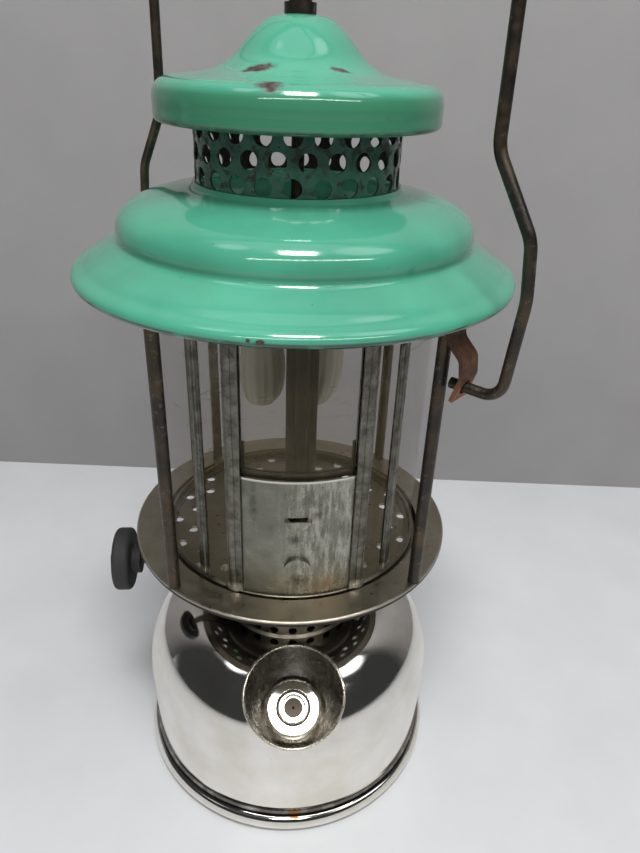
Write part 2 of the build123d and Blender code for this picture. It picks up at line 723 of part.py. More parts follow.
for side_name, side in (("left", -1), ("right", 1)):
    with BuildPart() as mantle:
        with BuildSketch(Plane((side * MANTLE_X, MANTLE_Y, 0), x_dir=(1, 0, 0), z_dir=(0, -1, 0))):
            with BuildLine():
                bag = Spline(
                    (5.6, MANTLE_TOP_Z),
                    (8.2, MANTLE_TOP_Z - 8),
                    (MANTLE_R, MANTLE_TOP_Z - 21),
                    (8.0, MANTLE_BOTTOM_Z + 7),
                    (1.6, MANTLE_BOTTOM_Z),
                )
                Polyline(bag @ 1, (0, MANTLE_BOTTOM_Z), (0, MANTLE_TOP_Z), bag @ 0)
            make_face()
        revolve(axis=Axis((side * MANTLE_X, MANTLE_Y, 0), (0, 0, 1)))
    mantle.part.label = "mantle_" + side_name
    export_step(mantle.part, "parts/mantle_" + side_name + ".step")

# ================= Ventilator =================

with BuildPart() as shade:
    with BuildSketch(Plane.XZ):
        with BuildLine():
            top = Spline(
                (BRIM_R, BRIM_Z),
                (76.0, 259.2),
                (VALLEY_R + 1.6, VALLEY_Z - 0.4),
                (VALLEY_R - 0.4, VALLEY_Z + 1.9),
                (VALLEY_R, 270.0),
                (63.8, 274.4),
                (58.0, 277.8),
                (48.0, 280.4),
                (BAND_R + 2.0, 282.0),
                (BAND_R, BAND_BOTTOM_Z),
            )
            under = Spline(
                (BRIM_R - 0.8, BRIM_Z - 1.2),
                (75.4, 258.0),
                (VALLEY_R + 1.2, VALLEY_Z - 1.6),
                (VALLEY_R - 1.6, VALLEY_Z + 1.6),
                (VALLEY_R - 1.2, 269.6),
                (63.0, 273.4),
                (57.6, 276.6),
                (47.8, 279.2),
                (BAND_R + 0.6, 281.0),
                (BAND_R - BAND_SHEET, 281.4),
            )
            Line(top @ 0, under @ 0)
            Polyline(top @ 1, (BAND_R - BAND_SHEET, BAND_BOTTOM_Z), under @ 1)
        make_face()
    revolve(axis=Axis.Z)
shade.part.label = "shade"

with BuildPart() as perforated_band:
    with BuildSketch(Plane.XY.offset(BAND_BOTTOM_Z)):
        Circle(BAND_R)
        Circle(BAND_R - BAND_SHEET, mode=Mode.SUBTRACT)
    extrude(amount=BAND_TOP_Z - BAND_BOTTOM_Z)
    for row_z, first_azimuth in BAND_ROWS:
        with Locations(*around(BAND_HOLES, row_z, first_azimuth)):
            Cylinder(BAND_HOLE_D / 2, 45, align=(Align.CENTER, Align.CENTER, Align.MIN), mode=Mode.SUBTRACT)
    with BuildSketch(Plane.XY.offset(BAND_TOP_Z - 1.0)):
        Circle(BAND_R)
        Circle(BAND_R - 5.0, mode=Mode.SUBTRACT)
    extrude(amount=1.0)
perforated_band.part.label = "perforated_band"

with BuildPart() as cap:
    for drop, mode in ((0.0, Mode.ADD), (ENAMEL, Mode.SUBTRACT)):
        with BuildSketch(Plane.XZ):
            with BuildLine():
                roof = Spline(
                    (SKIRT_R - drop, 311.5 - drop),
                    (49.3 - drop, 315.6 - drop),
                    (45.0 - drop / 2, 317.6 - drop),
                    (38.0, 318.7 - drop),
                    (30.0 - drop / 2, 320.4 - drop),
                    (21.8 - drop, 325.0 - drop / 2),
                    (16.2 - drop, 331.0 - drop / 2),
                    (10.4 - drop / 2, 335.8 - drop),
                    (5.0, CAP_TOP_Z - drop),
                )
                Polyline(
                    roof @ 1,
                    (0, CAP_TOP_Z - drop),
                    (0, SKIRT_Z - drop),
                    (SKIRT_R - drop, SKIRT_Z - drop),
                    roof @ 0,
                )
            make_face()
        revolve(axis=Axis.Z, mode=mode)
    Cylinder(STUD_R, 800, mode=Mode.SUBTRACT)
cap.part.label = "cap"

with BuildPart() as cap_spider:
    with BuildSketch(Plane.XY.offset(BAND_TOP_Z)):
        Rectangle(2 * (BAND_R + 2.0), 9.0)
        Circle(STUD_R, mode=Mode.SUBTRACT)
    extrude(amount=1.2)
cap_spider.part.label = "cap_spider"

with BuildPart() as stud:
    with BuildSketch(Plane.XY.offset(BRIDGE_TOP_Z)):
        Circle(STUD_R)
    extrude(amount=STUD_TOP_Z - BRIDGE_TOP_Z)
    chamfer(stud.faces().sort_by(Axis.Z)[-1].edges(), 0.6)
stud.part.label = "stud"

with BuildPart() as finial_nut:
    with BuildSketch(Plane.XY.offset(CAP_TOP_Z + 0.8)):
        Circle(5.4)
    extrude(amount=3.6)
    with BuildSketch(Plane.XY.offset(CAP_TOP_Z + 4.4)):
        Circle(3.9)
    extrude(amount=8.0)
    fillet(finial_nut.edges().filter_by(GeomType.CIRCLE).group_by(Axis.Z)[-1], 0.8)
    with BuildSketch(Plane.XY.offset(CAP_TOP_Z)):
        Circle(STUD_R + RUNNING_FIT)
    extrude(amount=20, mode=Mode.SUBTRACT)
finial_nut.part.label = "finial_nut"

with BuildPart() as finial_washer:
    with BuildSketch(Plane.XY.offset(CAP_TOP_Z + 0.15)):
        Circle(6.4)
        Circle(STUD_R, mode=Mode.SUBTRACT)
    extrude(amount=0.6)
finial_washer.part.label = "finial_washer"

pieces = (
    fount_shell,
    fount_bottom,
    filler_neck,
    filler_gasket,
    filler_cap,
    pump_cup,
    pump_barrel,
    check_valve,
    pump_cap,
    pump_knob,
    pump_rod,
    pump_leather,
    leather_nut,
    collar,
    base_plate,
    frame_rods,
    frame_top_ring,
    top_bridge,
    bail_ears,
    bail,
    globe_bottom_ring,
    globe_top_ring,
    mica_globe,
    door_frame,
    globe_strips,
    door_guides,
    globe_door,
    valve_body,
    fuel_tube,
    packing_nut,
    valve_stem,
    valve_wheel,
    wheel_nut,
    mixing_tube,
    generator,
    jam_nut,
    air_tube,
    well_cover,
    burner_head,
    burner_caps,
    shade,
    perforated_band,
    cap,
    cap_spider,
    stud,
    finial_nut,
    finial_washer,
)
for piece in pieces:
    export_step(piece.part, "parts/" + piece.part.label + ".step")
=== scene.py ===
import json
from math import cos, pi, radians, sin

import bmesh
import bpy
import numpy as np
from bpy.props import FloatProperty, FloatVectorProperty, IntProperty, PointerProperty
from mathutils import Matrix, Vector


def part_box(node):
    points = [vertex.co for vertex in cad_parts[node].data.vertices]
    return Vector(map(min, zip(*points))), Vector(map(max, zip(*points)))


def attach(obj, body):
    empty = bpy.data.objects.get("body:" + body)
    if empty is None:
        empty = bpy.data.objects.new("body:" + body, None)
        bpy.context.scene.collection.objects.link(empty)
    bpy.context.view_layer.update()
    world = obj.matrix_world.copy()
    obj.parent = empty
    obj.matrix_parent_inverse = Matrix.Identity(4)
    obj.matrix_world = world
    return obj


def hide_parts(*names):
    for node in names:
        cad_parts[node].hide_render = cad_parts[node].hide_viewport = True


bl_info = {
    "name": "Pressure lantern looks",
    "version": (1, 0, 0),
    "blender": (4, 5, 0),
    "location": "3D View > Sidebar > Lantern",
    "description": "Finishes, fabric mantles, lamp-black tubes and a studio stage for a two-mantle lantern",
    "category": "Object",
}

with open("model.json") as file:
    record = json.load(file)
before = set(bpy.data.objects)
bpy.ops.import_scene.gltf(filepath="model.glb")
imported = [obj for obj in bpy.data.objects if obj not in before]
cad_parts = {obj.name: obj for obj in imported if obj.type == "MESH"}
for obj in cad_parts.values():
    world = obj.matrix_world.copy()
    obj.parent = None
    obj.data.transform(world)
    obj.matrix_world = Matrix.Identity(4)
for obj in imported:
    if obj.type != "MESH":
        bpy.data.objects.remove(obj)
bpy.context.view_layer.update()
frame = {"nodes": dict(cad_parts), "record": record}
MM = 0.001
NODES = frame["nodes"]

# Lengths of the pieces are in millimetres.
ENAMEL_SHEET = 1.1
# Fount outline: a straight wall, and a shoulder that is a quarter of an ellipse.
SHOULDER_START = (40.0, 50.0)
SHOULDER_SPAN = (32.4, 35.5)
SHOULDER_MEAN = 34.0
# Pump recess: its lip and its floor are circles in two planes that lean back by different angles.
LIP_CENTRE, LIP_TILT, LIP_R = (0.0, -54.3, 70.7), 50.0, 22.1
FLOOR_CENTRE, FLOOR_TILT, FLOOR_R, FLOOR_DROP = (0.0, -54.3, 62.9), 62.0, 13.2, 2.4
# Pump dish: its floor's hole, its sheet, how far its wall sags, and the width and height of its bead.
DISH_HOLE_R, DISH_SHEET, DISH_SAG = 10.9, 0.6, 1.5
BEAD_WIDTH, BEAD_HEIGHT, BEAD_SINK = 0.62, 0.5, 0.05
# Globe strips: radius of the mica, and the azimuths of the door guides and of the side strips.
GLOBE_R = 56.4
GUIDE_AZIMUTHS = (-25.6, 25.6)
STRIP_AZIMUTHS = (41.5, 138.5, 221.5, 318.5)
# Ribs: how far their backs stand off the mica, and their half width and rise. Solder: place and size.
GUIDE_STEP, GUIDE_RIB = 2.5, (1.6, 0.9)
STRIP_STEP, STRIP_RIB = 0.7, (1.3, 0.7)
SOLDER_R, SOLDER_SIZE = 58.3, (3.6, 1.3, 2.0)
# Stud: the thread's pitch and depth, and where the plain part ends and the thread begins.
THREAD_PITCH, THREAD_DEPTH = 1.0, 0.16
PLAIN_TOP, THREAD_FOOT = 336.0, 337.0
# Gathered end of each mantle: how far it is drawn aside, and the share by which the bag narrows.
GATHER = {"left": (0.6, 0.0), "right": (4.0, 0.16)}

# Where finishes change, metres: each pair says where a change starts and where it is complete.
ABOVE_SHADE = (0.300, 0.301)
CAP_SIDE = (0.3170, 0.3150)
SKIRT_EDGE, SKIRT_FACE = (0.3066, 0.3059), (0.0494, 0.0498)
BRIM_EDGE, BRIM_FACE = (0.2541, 0.2535), (0.080, 0.081)
BAND_INSIDE, BAND_FOOT = (0.0372, 0.0369), (0.288, 0.284)
GROOVE_FOOT, GROOVE_TOP = (0.0083, 0.0089), (0.0136, 0.0130)
CROWN_FACE, CROWN_FOOT = (0.050, 0.038), (0.078, 0.082)
DISH_LIP = (0.0004, 0.0010)
COLLAR_SOOT = (0.1290, 0.1316)
PLATE_FLOOR, PLATE_FLANGE = (0.0600, 0.0590), (0.0600, 0.0604)
PLATE_RIM_FACE, PLATE_RIM_FOOT = (0.0712, 0.0717), (0.1330, 0.1336)
PLATE_UNDERSIDE, WELL_UNDERSIDE = (0.1330, 0.1327), (0.1300, 0.1299)
DOOR_RIGHT, DOOR_TOP = (-0.009, 0.003), (0.1884, 0.1890)
SOLDERED_FOOT = (0.1395, 0.1370)
EAR_TIP = (0.232, 0.2235)
SCORCHED = (0.196, 0.170)

# Stage, metres and degrees.
STAGE_REACH, WALL_HEIGHT = 3.0, 2.0
CAMERA_PLACE = (-0.01145, -0.2622, 0.3256)
CAMERA_HEADING, CAMERA_TILT, CAMERA_ROLL = -5.12, 61.19, 2.27
SENSOR_WIDTH = 36


# ---------------------------------------------------------------- surfaces


def curve_through(points, steps):
    """Smooth line through given points: between each two, a cubic whose end slopes are half the step
    from the point before to the point after (Catmull and Rom's rule)."""
    p = np.asarray(points, float)
    ends = np.vstack([2 * p[0] - p[1], p, 2 * p[-1] - p[-2]])
    before, start, end, after = ends[:-3, None], ends[1:-2, None], ends[2:-1, None], ends[3:, None]
    t = np.linspace(0, 1, steps, endpoint=False)[None, :, None]
    slope_in, slope_out = (end - before) / 2, (after - start) / 2
    line = (
        (2 * t**3 - 3 * t**2 + 1) * start
        + (t**3 - 2 * t**2 + t) * slope_in
        + (3 * t**2 - 2 * t**3) * end
        + (t**3 - t**2) * slope_out
    )
    return np.vstack([line.reshape(-1, p.shape[1]), p[-1:]])


def skin(name, points, wrap_rows=False, wrap_columns=False, sharp=40.0):
    """Quads over a grid of points, rows by columns, whose doubled points at a pole or seam are merged.
    A wrapped direction joins its last line to its first. Edges over the sharp angle stay crisp."""
    rows, columns = points.shape[:2]
    ids = np.arange(rows * columns).reshape(rows, columns)
    if wrap_rows:
        ids = np.vstack([ids, ids[:1]])
    if wrap_columns:
        ids = np.hstack([ids, ids[:, :1]])
    quads = np.stack([ids[:-1, :-1], ids[1:, :-1], ids[1:, 1:], ids[:-1, 1:]], -1).reshape(-1, 4)
    mesh = bpy.data.meshes.new(name)
    mesh.from_pydata(points.reshape(-1, 3).tolist(), [], quads.tolist())
    work = bmesh.new()
    work.from_mesh(mesh)
    bmesh.ops.remove_doubles(work, verts=work.verts, dist=1e-7)
    bmesh.ops.recalc_face_normals(work, faces=work.faces)
    work.to_mesh(mesh)
    work.free()
    mesh.shade_smooth()
    mesh.set_sharp_from_angle(angle=radians(sharp))
    piece = bpy.data.objects.new(name, mesh)
    bpy.context.scene.collection.objects.link(piece)
    return piece


def turned(name, profile, sides=256, sharp=40.0, closed=True):
    """Surface of revolution about Z: each (radius, height) of the profile goes round by the sine and
    cosine of the azimuth. Lengths are in millimetres."""
    outline = np.asarray(profile, float) * MM
    angle = np.linspace(0, 2 * pi, sides, endpoint=False)
    radius, height = outline[:, 0, None], outline[:, 1, None]
    points = np.stack([radius * np.cos(angle), radius * np.sin(angle), height + 0 * angle], -1)
    return skin(name, points, wrap_rows=closed, wrap_columns=True, sharp=sharp)


def finish_piece(piece, body, material, slot, *stands_for):
    """Gives a finished piece its material and lets it move with its body; the slot it is given is not used.
    """
    piece.data.materials.append(material)
    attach(piece, body)
    if stands_for:
        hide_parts(*stands_for)


# --------------------------------------------------------------- materials


class Finish:
    """A material being made: its shader, and the pattern nodes that read the piece's own coordinates."""

    def __init__(self, name, colour, roughness, metallic=0.0, **settings):
        self.material = bpy.data.materials.new(name)
        self.material.use_nodes = True
        self.tree = self.material.node_tree
        self.shader = self.tree.nodes["Principled BSDF"]
        self.place = self.tree.nodes.new("ShaderNodeTexCoord").outputs["Object"]
        self.set("Base Color", (*colour, 1))
        self.set("Roughness", roughness)
        self.set("Metallic", metallic)
        for socket, value in settings.items():
            self.set(socket.replace("_", " "), value)

    def set(self, socket, value):
        """Puts a number on a shader socket, or links a pattern to it."""
        if isinstance(value, bpy.types.NodeSocket):
            self.tree.links.new(value, self.shader.inputs[socket])
        else:
            self.shader.inputs[socket].default_value = value

    def node(self, kind, *inputs, **options):
        """A node with some of its inputs filled in order, by value or link; None leaves one alone."""
        made = self.tree.nodes.new(kind)
        for option, value in options.items():
            setattr(made, option, value)
        for socket, value in zip(made.inputs, inputs):
            if isinstance(value, bpy.types.NodeSocket):
                self.tree.links.new(value, socket)
            elif value is not None:
                socket.default_value = value
        return made

    def moved(self, offset=(0, 0, 0), turn=(0, 0, 0), stretch=(1, 1, 1)):
        """The piece's coordinates, shifted, turned and stretched."""
        return self.node("ShaderNodeMapping", self.place, offset, turn, stretch).outputs[0]

    def noise(self, size, detail=3.0, rough=0.55, where=None):
        """Cloudy pattern, 0 to 1, whose blotches are about a size in millimetres."""
        cloud = self.node("ShaderNodeTexNoise")
        self.tree.links.new(where or self.place, cloud.inputs["Vector"])
        cloud.inputs["Scale"].default_value = 1 / (size * MM)
        cloud.inputs["Detail"].default_value = detail
        cloud.inputs["Roughness"].default_value = rough
        return cloud.outputs["Fac"]

    def between(self, value, low, high, start=0.0, end=1.0):
        """A pattern stretched so that low gives start and high gives end, and cut off there."""
        return self.node("ShaderNodeMapRange", value, low, high, start, end).outputs[0]

    def work(self, operation, first, second=None):
        """One sum on patterns or numbers."""
        return self.node("ShaderNodeMath", first, second, operation=operation).outputs[0]

    def mix(self, share, first, second):
        """Colour that goes from the first to the second as the share goes from 0 to 1."""
        made = self.tree.nodes.new("ShaderNodeMix")
        made.data_type = "RGBA"
        for number, value in ((0, share), (6, first), (7, second)):
            socket = made.inputs[number]
            if isinstance(value, bpy.types.NodeSocket):
                self.tree.links.new(value, socket)
            elif isinstance(value, tuple):
                socket.default_value = (*value[:3], 1)
            else:
                socket.default_value = value
        return made.outputs[2]

    def bump(self, height, depth):
        """Relief whose full height is a depth in millimetres."""
        made = self.node("ShaderNodeBump", 1.0, depth * MM)
        self.tree.links.new(height, made.inputs["Height"])
        self.set("Normal", made.outputs[0])

    def spot(self, centre, reach, edge=0.35, ragged=0.25):
        """Ragged patch, 1 inside and 0 outside: the distance from a centre, divided by the reach along
        X, Y and Z in millimetres, with cloudiness added to its edge."""
        share = tuple(1 / (r * MM) for r in reach)
        offset = tuple(-c / r for c, r in zip(centre, reach))
        local = self.node("ShaderNodeMapping", self.place, offset, (0, 0, 0), share).outputs[0]
        far = self.node("ShaderNodeVectorMath", local, operation="LENGTH").outputs["Value"]
        cloud = self.work("MULTIPLY", self.work("SUBTRACT", self.noise(2.2, 4), 0.5), 4 * ragged)
        return self.between(self.work("ADD", far, cloud), 1.0, 1.0 - edge, 0.0, 1.0)

    def radius(self):
        """Distance from the lantern's axis, in metres."""
        flat = self.node("ShaderNodeVectorMath", self.place, (1, 1, 0), operation="MULTIPLY").outputs[0]
        return self.node("ShaderNodeVectorMath", flat, operation="LENGTH").outputs["Value"]

    def lip_distance(self):
        """How far a point is inside the fount's shoulder, in metres, near the pump recess."""
        shares = [
            self.work("DIVIDE", self.work("SUBTRACT", place, start * MM), span * MM)
            for place, start, span in zip((self.radius(), self.height()), SHOULDER_START, SHOULDER_SPAN)
        ]
        shares[1] = self.work("MAXIMUM", shares[1], 0.0)
        squares = [self.work("MULTIPLY", share, share) for share in shares]
        far = self.work("SQRT", self.work("ADD", *squares))
        return self.work("MULTIPLY", self.work("SUBTRACT", 1.0, far), SHOULDER_MEAN * MM)

    def height(self):
        """Height above the foot, in metres."""
        return self.node("ShaderNodeSeparateXYZ", self.place).outputs["Z"]


# Chips in the enamel: the middle of each, and its reach along X, Y and Z, millimetres.
CHIPS = (
    ((-13.1, -24.3, 321.2), (7.0, 3.0, 3.0)),
    ((10.8, -24.6, 321.5), (5.5, 1.6, 2.0)),
    ((-10.0, -44.5, 317.0), (5.2, 4.6, 3.0)),
    ((-1.2, -24.7, 322.8), (0.9, 0.9, 0.9)),
    ((-13.5, -83.2, 254.0), (1.6, 1.5, 1.0)),
    ((-17.0, -82.4, 254.2), (1.0, 1.0, 0.8)),
)


def vitreous_enamel():
    """Thick glossy green glass on iron: slight waves, worn dark edges, and chips down to rusty iron."""
    look = bpy.context.scene.lantern_look
    green = tuple(look.enamel)
    e = Finish("vitreous_enamel", green, look.enamel_roughness, Coat_Weight=0.35, Coat_Roughness=0.03)
    cloud = e.noise(38, 3)
    deep = tuple(c * 0.80 for c in green)
    colour = e.mix(e.between(cloud, 0.35, 0.7), green, deep)
    specks = e.between(e.noise(1.1, 2), 0.735, 0.76)
    few = e.work("MULTIPLY", specks, e.between(e.noise(21, 2), 0.5, 0.62))
    colour = e.mix(few, colour, (0.03, 0.06, 0.04))
    on_cap = e.between(e.height(), *ABOVE_SHADE)
    # Painted shade: the cap's upright skirt is painted a darker green, standing for the shade and the dark
    # reflections on it.
    side = e.work("MULTIPLY", e.between(e.height(), *CAP_SIDE), on_cap)
    painted_skirt_shade = tuple(c * share for c, share in zip(green, (0.55, 0.50, 0.40)))
    colour = e.mix(e.work("MULTIPLY", side, 0.8), colour, painted_skirt_shade)
    bare = None
    for centre, reach in CHIPS:
        patch = e.spot(centre, reach)
        bare = patch if bare is None else e.work("MAXIMUM", bare, patch)
    edge = e.work("MULTIPLY", e.between(e.height(), *SKIRT_EDGE), on_cap)
    skirt = e.work("MULTIPLY", edge, e.between(e.radius(), *SKIRT_FACE))
    brim = e.work("MULTIPLY", e.between(e.height(), *BRIM_EDGE), e.between(e.radius(), *BRIM_FACE))
    uneven = e.between(e.noise(9, 3), 0.3, 0.5, 0.45, 1.0)
    worn = e.work("MULTIPLY", e.work("MAXIMUM", skirt, brim), uneven)
    colour = e.mix(e.work("MULTIPLY", worn, 0.85), colour, (0.012, 0.03, 0.02))
    rust = e.mix(e.between(e.noise(2.0, 4), 0.4, 0.62), (0.045, 0.014, 0.010), (0.11, 0.09, 0.085))
    e.set("Base Color", e.mix(bare, colour, rust))
    e.set("Roughness", e.between(bare, 0.0, 1.0, look.enamel_roughness, 0.7))
    e.set("Coat Weight", e.between(bare, 0.0, 1.0, 0.35, 0.0))
    wave = e.work("MULTIPLY", e.noise(16, 1), 0.35)
    dip = e.work("MULTIPLY", bare, -0.25)
    e.bump(e.work("ADD", wave, dip), 0.16)
    return e.material


def band_enamel():
    """The ventilator band: the same enamel painted a darker green, partly grime and partly painted shadow
    of the cap above, chipped dark round its punched holes and sooty inside.
    """
    look = bpy.context.scene.lantern_look
    green = tuple(look.enamel)
    e = Finish("band_enamel", green, look.enamel_roughness, Coat_Weight=0.3, Coat_Roughness=0.04)
    inside = e.between(e.radius(), *BAND_INSIDE)
    chipped = e.between(e.noise(3.4, 4), 0.53, 0.60)
    low = e.between(e.height(), *BAND_FOOT)
    dirt = e.work("MAXIMUM", inside, e.work("MULTIPLY", chipped, e.between(low, 0.0, 1.0, 0.85, 0.2)))
    soot = e.mix(e.noise(4), (0.012, 0.013, 0.012), (0.045, 0.026, 0.018))
    # Painted shadow and grime: the band's green is painted down to about a third of the enamel's and
    # darker, for the cap's shadow over the band as well as dirt.
    grubby = e.between(e.noise(8, 4), 0.35, 0.65)
    coat = e.mix(grubby, tuple(c * 0.36 for c in green), tuple(c * 0.18 for c in green))
    e.set("Base Color", e.mix(dirt, coat, soot))
    e.set("Roughness", e.between(dirt, 0.0, 1.0, look.enamel_roughness, 0.75))
    e.set("Coat Weight", e.between(dirt, 0.0, 1.0, 0.3, 0.0))
    e.bump(dirt, -0.08)
    return e.material


def polished_nickel():
    """Bright nickel plate with faint yellowing, fine rubbing marks, a few dull specks, dirt
    and a rust spot in the groove of the foot, and the crown round the collar painted dark: partly soot,
    partly painted shade that hides the collar's reflection."""
    look = bpy.context.scene.lantern_look
    n = Finish("polished_nickel", (0.80, 0.78, 0.73), look.nickel_roughness, 1.0)
    cloud = n.noise(24, 4)
    colour = n.mix(n.between(cloud, 0.35, 0.7), (0.84, 0.82, 0.78), (0.70, 0.66, 0.58))
    specks = n.between(n.noise(0.9, 2), 0.72, 0.76)
    colour = n.mix(n.work("MULTIPLY", specks, 0.7), colour, (0.20, 0.15, 0.10))
    above, below = n.between(n.height(), *GROOVE_FOOT), n.between(n.height(), *GROOVE_TOP)
    groove = n.work("MULTIPLY", above, below)
    grime = n.work("MULTIPLY", groove, n.between(n.noise(9, 3), 0.3, 0.5, 0.5, 0.9))
    colour = n.mix(grime, colour, (0.08, 0.07, 0.055))
    # Partly soot, partly painted shade: the crown round the collar is painted dark, for the shade under the
    # collar and to hide the collar's bright reflection in the polished metal.
    crown = n.work("MULTIPLY", n.between(n.radius(), *CROWN_FACE), n.between(n.height(), *CROWN_FOOT))
    colour = n.mix(n.work("MULTIPLY", crown, 0.85), colour, (0.07, 0.065, 0.055))
    n.set("Base Color", n.mix(n.spot((0.5, -72.6, 10.0), (3.2, 4, 2.4)), colour, (0.30, 0.13, 0.05)))
    smear = n.noise(5, 4, where=n.moved(stretch=(1, 1, 5)))
    n.set("Roughness", n.between(smear, 0.3, 0.75, look.nickel_roughness, look.nickel_roughness + 0.07))
    n.bump(n.noise(26, 1), 0.05)
    return n.material


def dish_nickel_painted_dark():
    """Nickel of the pump recess: its bowl painted dark grey-brown, a painted shade and reflection of the
    dark room, softer than the shell, with a lip of bright nickel like the shell's."""
    d = Finish("dish_nickel_painted_dark", (0.20, 0.185, 0.16), 0.24, 1.0)
    # Painted shade: the bowl's dark grey-brown stands for the shade in the recess and the dark room it
    # reflects.
    cloud = d.between(d.noise(7, 4), 0.3, 0.7)
    colour = d.mix(cloud, (0.23, 0.215, 0.19), (0.13, 0.12, 0.10))
    lip = d.between(d.lip_distance(), *DISH_LIP)
    d.set("Base Color", d.mix(lip, (0.75, 0.70, 0.60), colour))
    d.set("Roughness", d.between(d.noise(3, 4), 0.3, 0.7, 0.20, 0.34))
    d.bump(d.noise(9, 2), 0.05)
    return d.material


def knob_nickel():
    """Bright nickel of the pump knob, with painted shade in the recess in its middle."""
    k = Finish("knob_nickel", (0.80, 0.78, 0.73), 0.09, 1.0)
    low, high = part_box("pump_knob")
    stroke = next(j for j in frame["record"]["behaviour"]["joints"] if j["name"] == "pump_stroke")
    middle = (low + high) / 2 / MM + Vector(stroke["axis"])
    # Painted shade: a dark spot painted in the knob's recess, where the lamp above would show bright.
    hollow = k.spot(middle, (4.7, 4.7, 4.7), 0.10, 0.02)
    k.set("Base Color", k.mix(hollow, (0.80, 0.78, 0.73), (0.060, 0.050, 0.040)))
    k.set("Roughness", k.mix(hollow, (0.12, 0.12, 0.12), (0.45, 0.45, 0.45)))
    k.bump(k.noise(4, 2), 0.02)
    return k.material


def underside_plate():
    """The collar's sheet: the same warm plate as the flange, sooty where it meets the plate above."""
    u = Finish("underside_plate", (0.22, 0.20, 0.16), 0.38, 1.0)
    cloud = u.between(u.noise(9, 4), 0.3, 0.7)
    colour = u.mix(cloud, (0.30, 0.275, 0.225), (0.13, 0.115, 0.09))
    sooted = u.between(u.height(), *COLLAR_SOOT)
    u.set("Base Color", u.mix(sooted, colour, (0.07, 0.062, 0.05)))
    u.set("Roughness", u.between(u.noise(4, 4), 0.3, 0.7, 0.3, 0.5))
    u.bump(u.noise(1.5, 3), 0.03)
    return u.material


def dulled_plate():
    """Nickel-plated sheet gone warm grey with heat: satin, with painted shade underneath and on the floor
    round the globe's foot, and a painted highlight at its rim.
    """
    p = Finish("dulled_plate", (0.36, 0.33, 0.27), 0.34, 1.0)
    cloud = p.noise(13, 5)
    colour = p.mix(p.between(cloud, 0.3, 0.7), (0.33, 0.295, 0.235), (0.25, 0.22, 0.165))
    stain = p.between(p.noise(5, 4), 0.60, 0.72)
    colour = p.mix(p.work("MULTIPLY", stain, 0.35), colour, (0.14, 0.11, 0.075))
    # Painted shade: the floor inside the flange, round and under the globe's foot, is painted darker.
    floor = p.between(p.radius(), *PLATE_FLOOR)
    colour = p.mix(p.work("MULTIPLY", floor, 0.45), colour, (0.12, 0.105, 0.08))
    # Painted highlight: a bright line painted along the face of the rolled rim.
    rim_top = p.between(p.height(), *PLATE_RIM_FOOT)
    rim = p.work("MULTIPLY", p.between(p.radius(), *PLATE_RIM_FACE), rim_top)
    # Painted shade: the underside of the flange and of the well is painted near black.
    flange = p.between(p.radius(), *PLATE_FLANGE)
    under = p.work("MULTIPLY", p.between(p.height(), *PLATE_UNDERSIDE), flange)
    under = p.work("MAXIMUM", under, p.between(p.height(), *WELL_UNDERSIDE))
    colour = p.mix(under, colour, (0.045, 0.040, 0.032))
    p.set("Base Color", p.mix(rim, colour, (0.52, 0.48, 0.41)))
    p.set("Roughness", p.between(p.noise(4, 4), 0.3, 0.7, 0.26, 0.46))
    p.bump(p.noise(1.5, 3), 0.03)
    return p.material


def tinned_door():
    """Tin plate of the door: smooth grey-green to the left, streaked bright and speckled to the right."""
    t = Finish("tinned_door", (0.42, 0.43, 0.38), 0.34, 0.9)
    across = t.node("ShaderNodeSeparateXYZ", t.place).outputs["X"]
    right = t.between(across, *DOOR_RIGHT)
    streak = t.noise(2.0, 5, 0.65, t.moved(stretch=(1, 1, 0.16)))
    bright = t.work("MULTIPLY", right, t.between(streak, 0.44, 0.60))
    colour = t.mix(t.between(t.noise(11, 4), 0.3, 0.7), (0.25, 0.25, 0.205), (0.15, 0.15, 0.12))
    colour = t.mix(bright, colour, (0.40, 0.39, 0.33))
    speck = t.between(t.noise(0.8, 3, 0.7), 0.60, 0.66)
    often = t.between(right, 0.0, 1.0, 0.25, 0.9)
    colour = t.mix(t.work("MULTIPLY", speck, often), colour, (0.055, 0.055, 0.048))
    for centre, reach, tint in (
        ((0.5, -58, 143.0), (6, 6, 4.0), (0.05, 0.045, 0.04)),
        ((12.0, -57, 140.0), (9, 6, 7.0), (0.30, 0.22, 0.13)),
        ((-1.0, -58, 163.0), (3.5, 6, 4.0), (0.06, 0.055, 0.05)),
        ((7.5, -58, 174.0), (2.5, 6, 3.0), (0.09, 0.08, 0.07)),
        ((-17.0, -57, 178.0), (2.0, 6, 12.0), (0.08, 0.08, 0.07)),
    ):
        patch = t.work("MULTIPLY", t.spot(centre, reach, 0.9, 0.35), 0.8)
        colour = t.mix(patch, colour, tint)
    # Painted highlight: the door's top edge is painted pale, for the bright line along it.
    top = t.between(t.height(), *DOOR_TOP)
    t.set("Base Color", t.mix(top, colour, (0.72, 0.70, 0.64)))
    t.set("Roughness", t.between(t.noise(3, 4), 0.3, 0.7, 0.24, 0.48))
    t.bump(t.work("ADD", t.noise(1.2, 4), t.work("MULTIPLY", streak, 0.5)), 0.05)
    return t.material


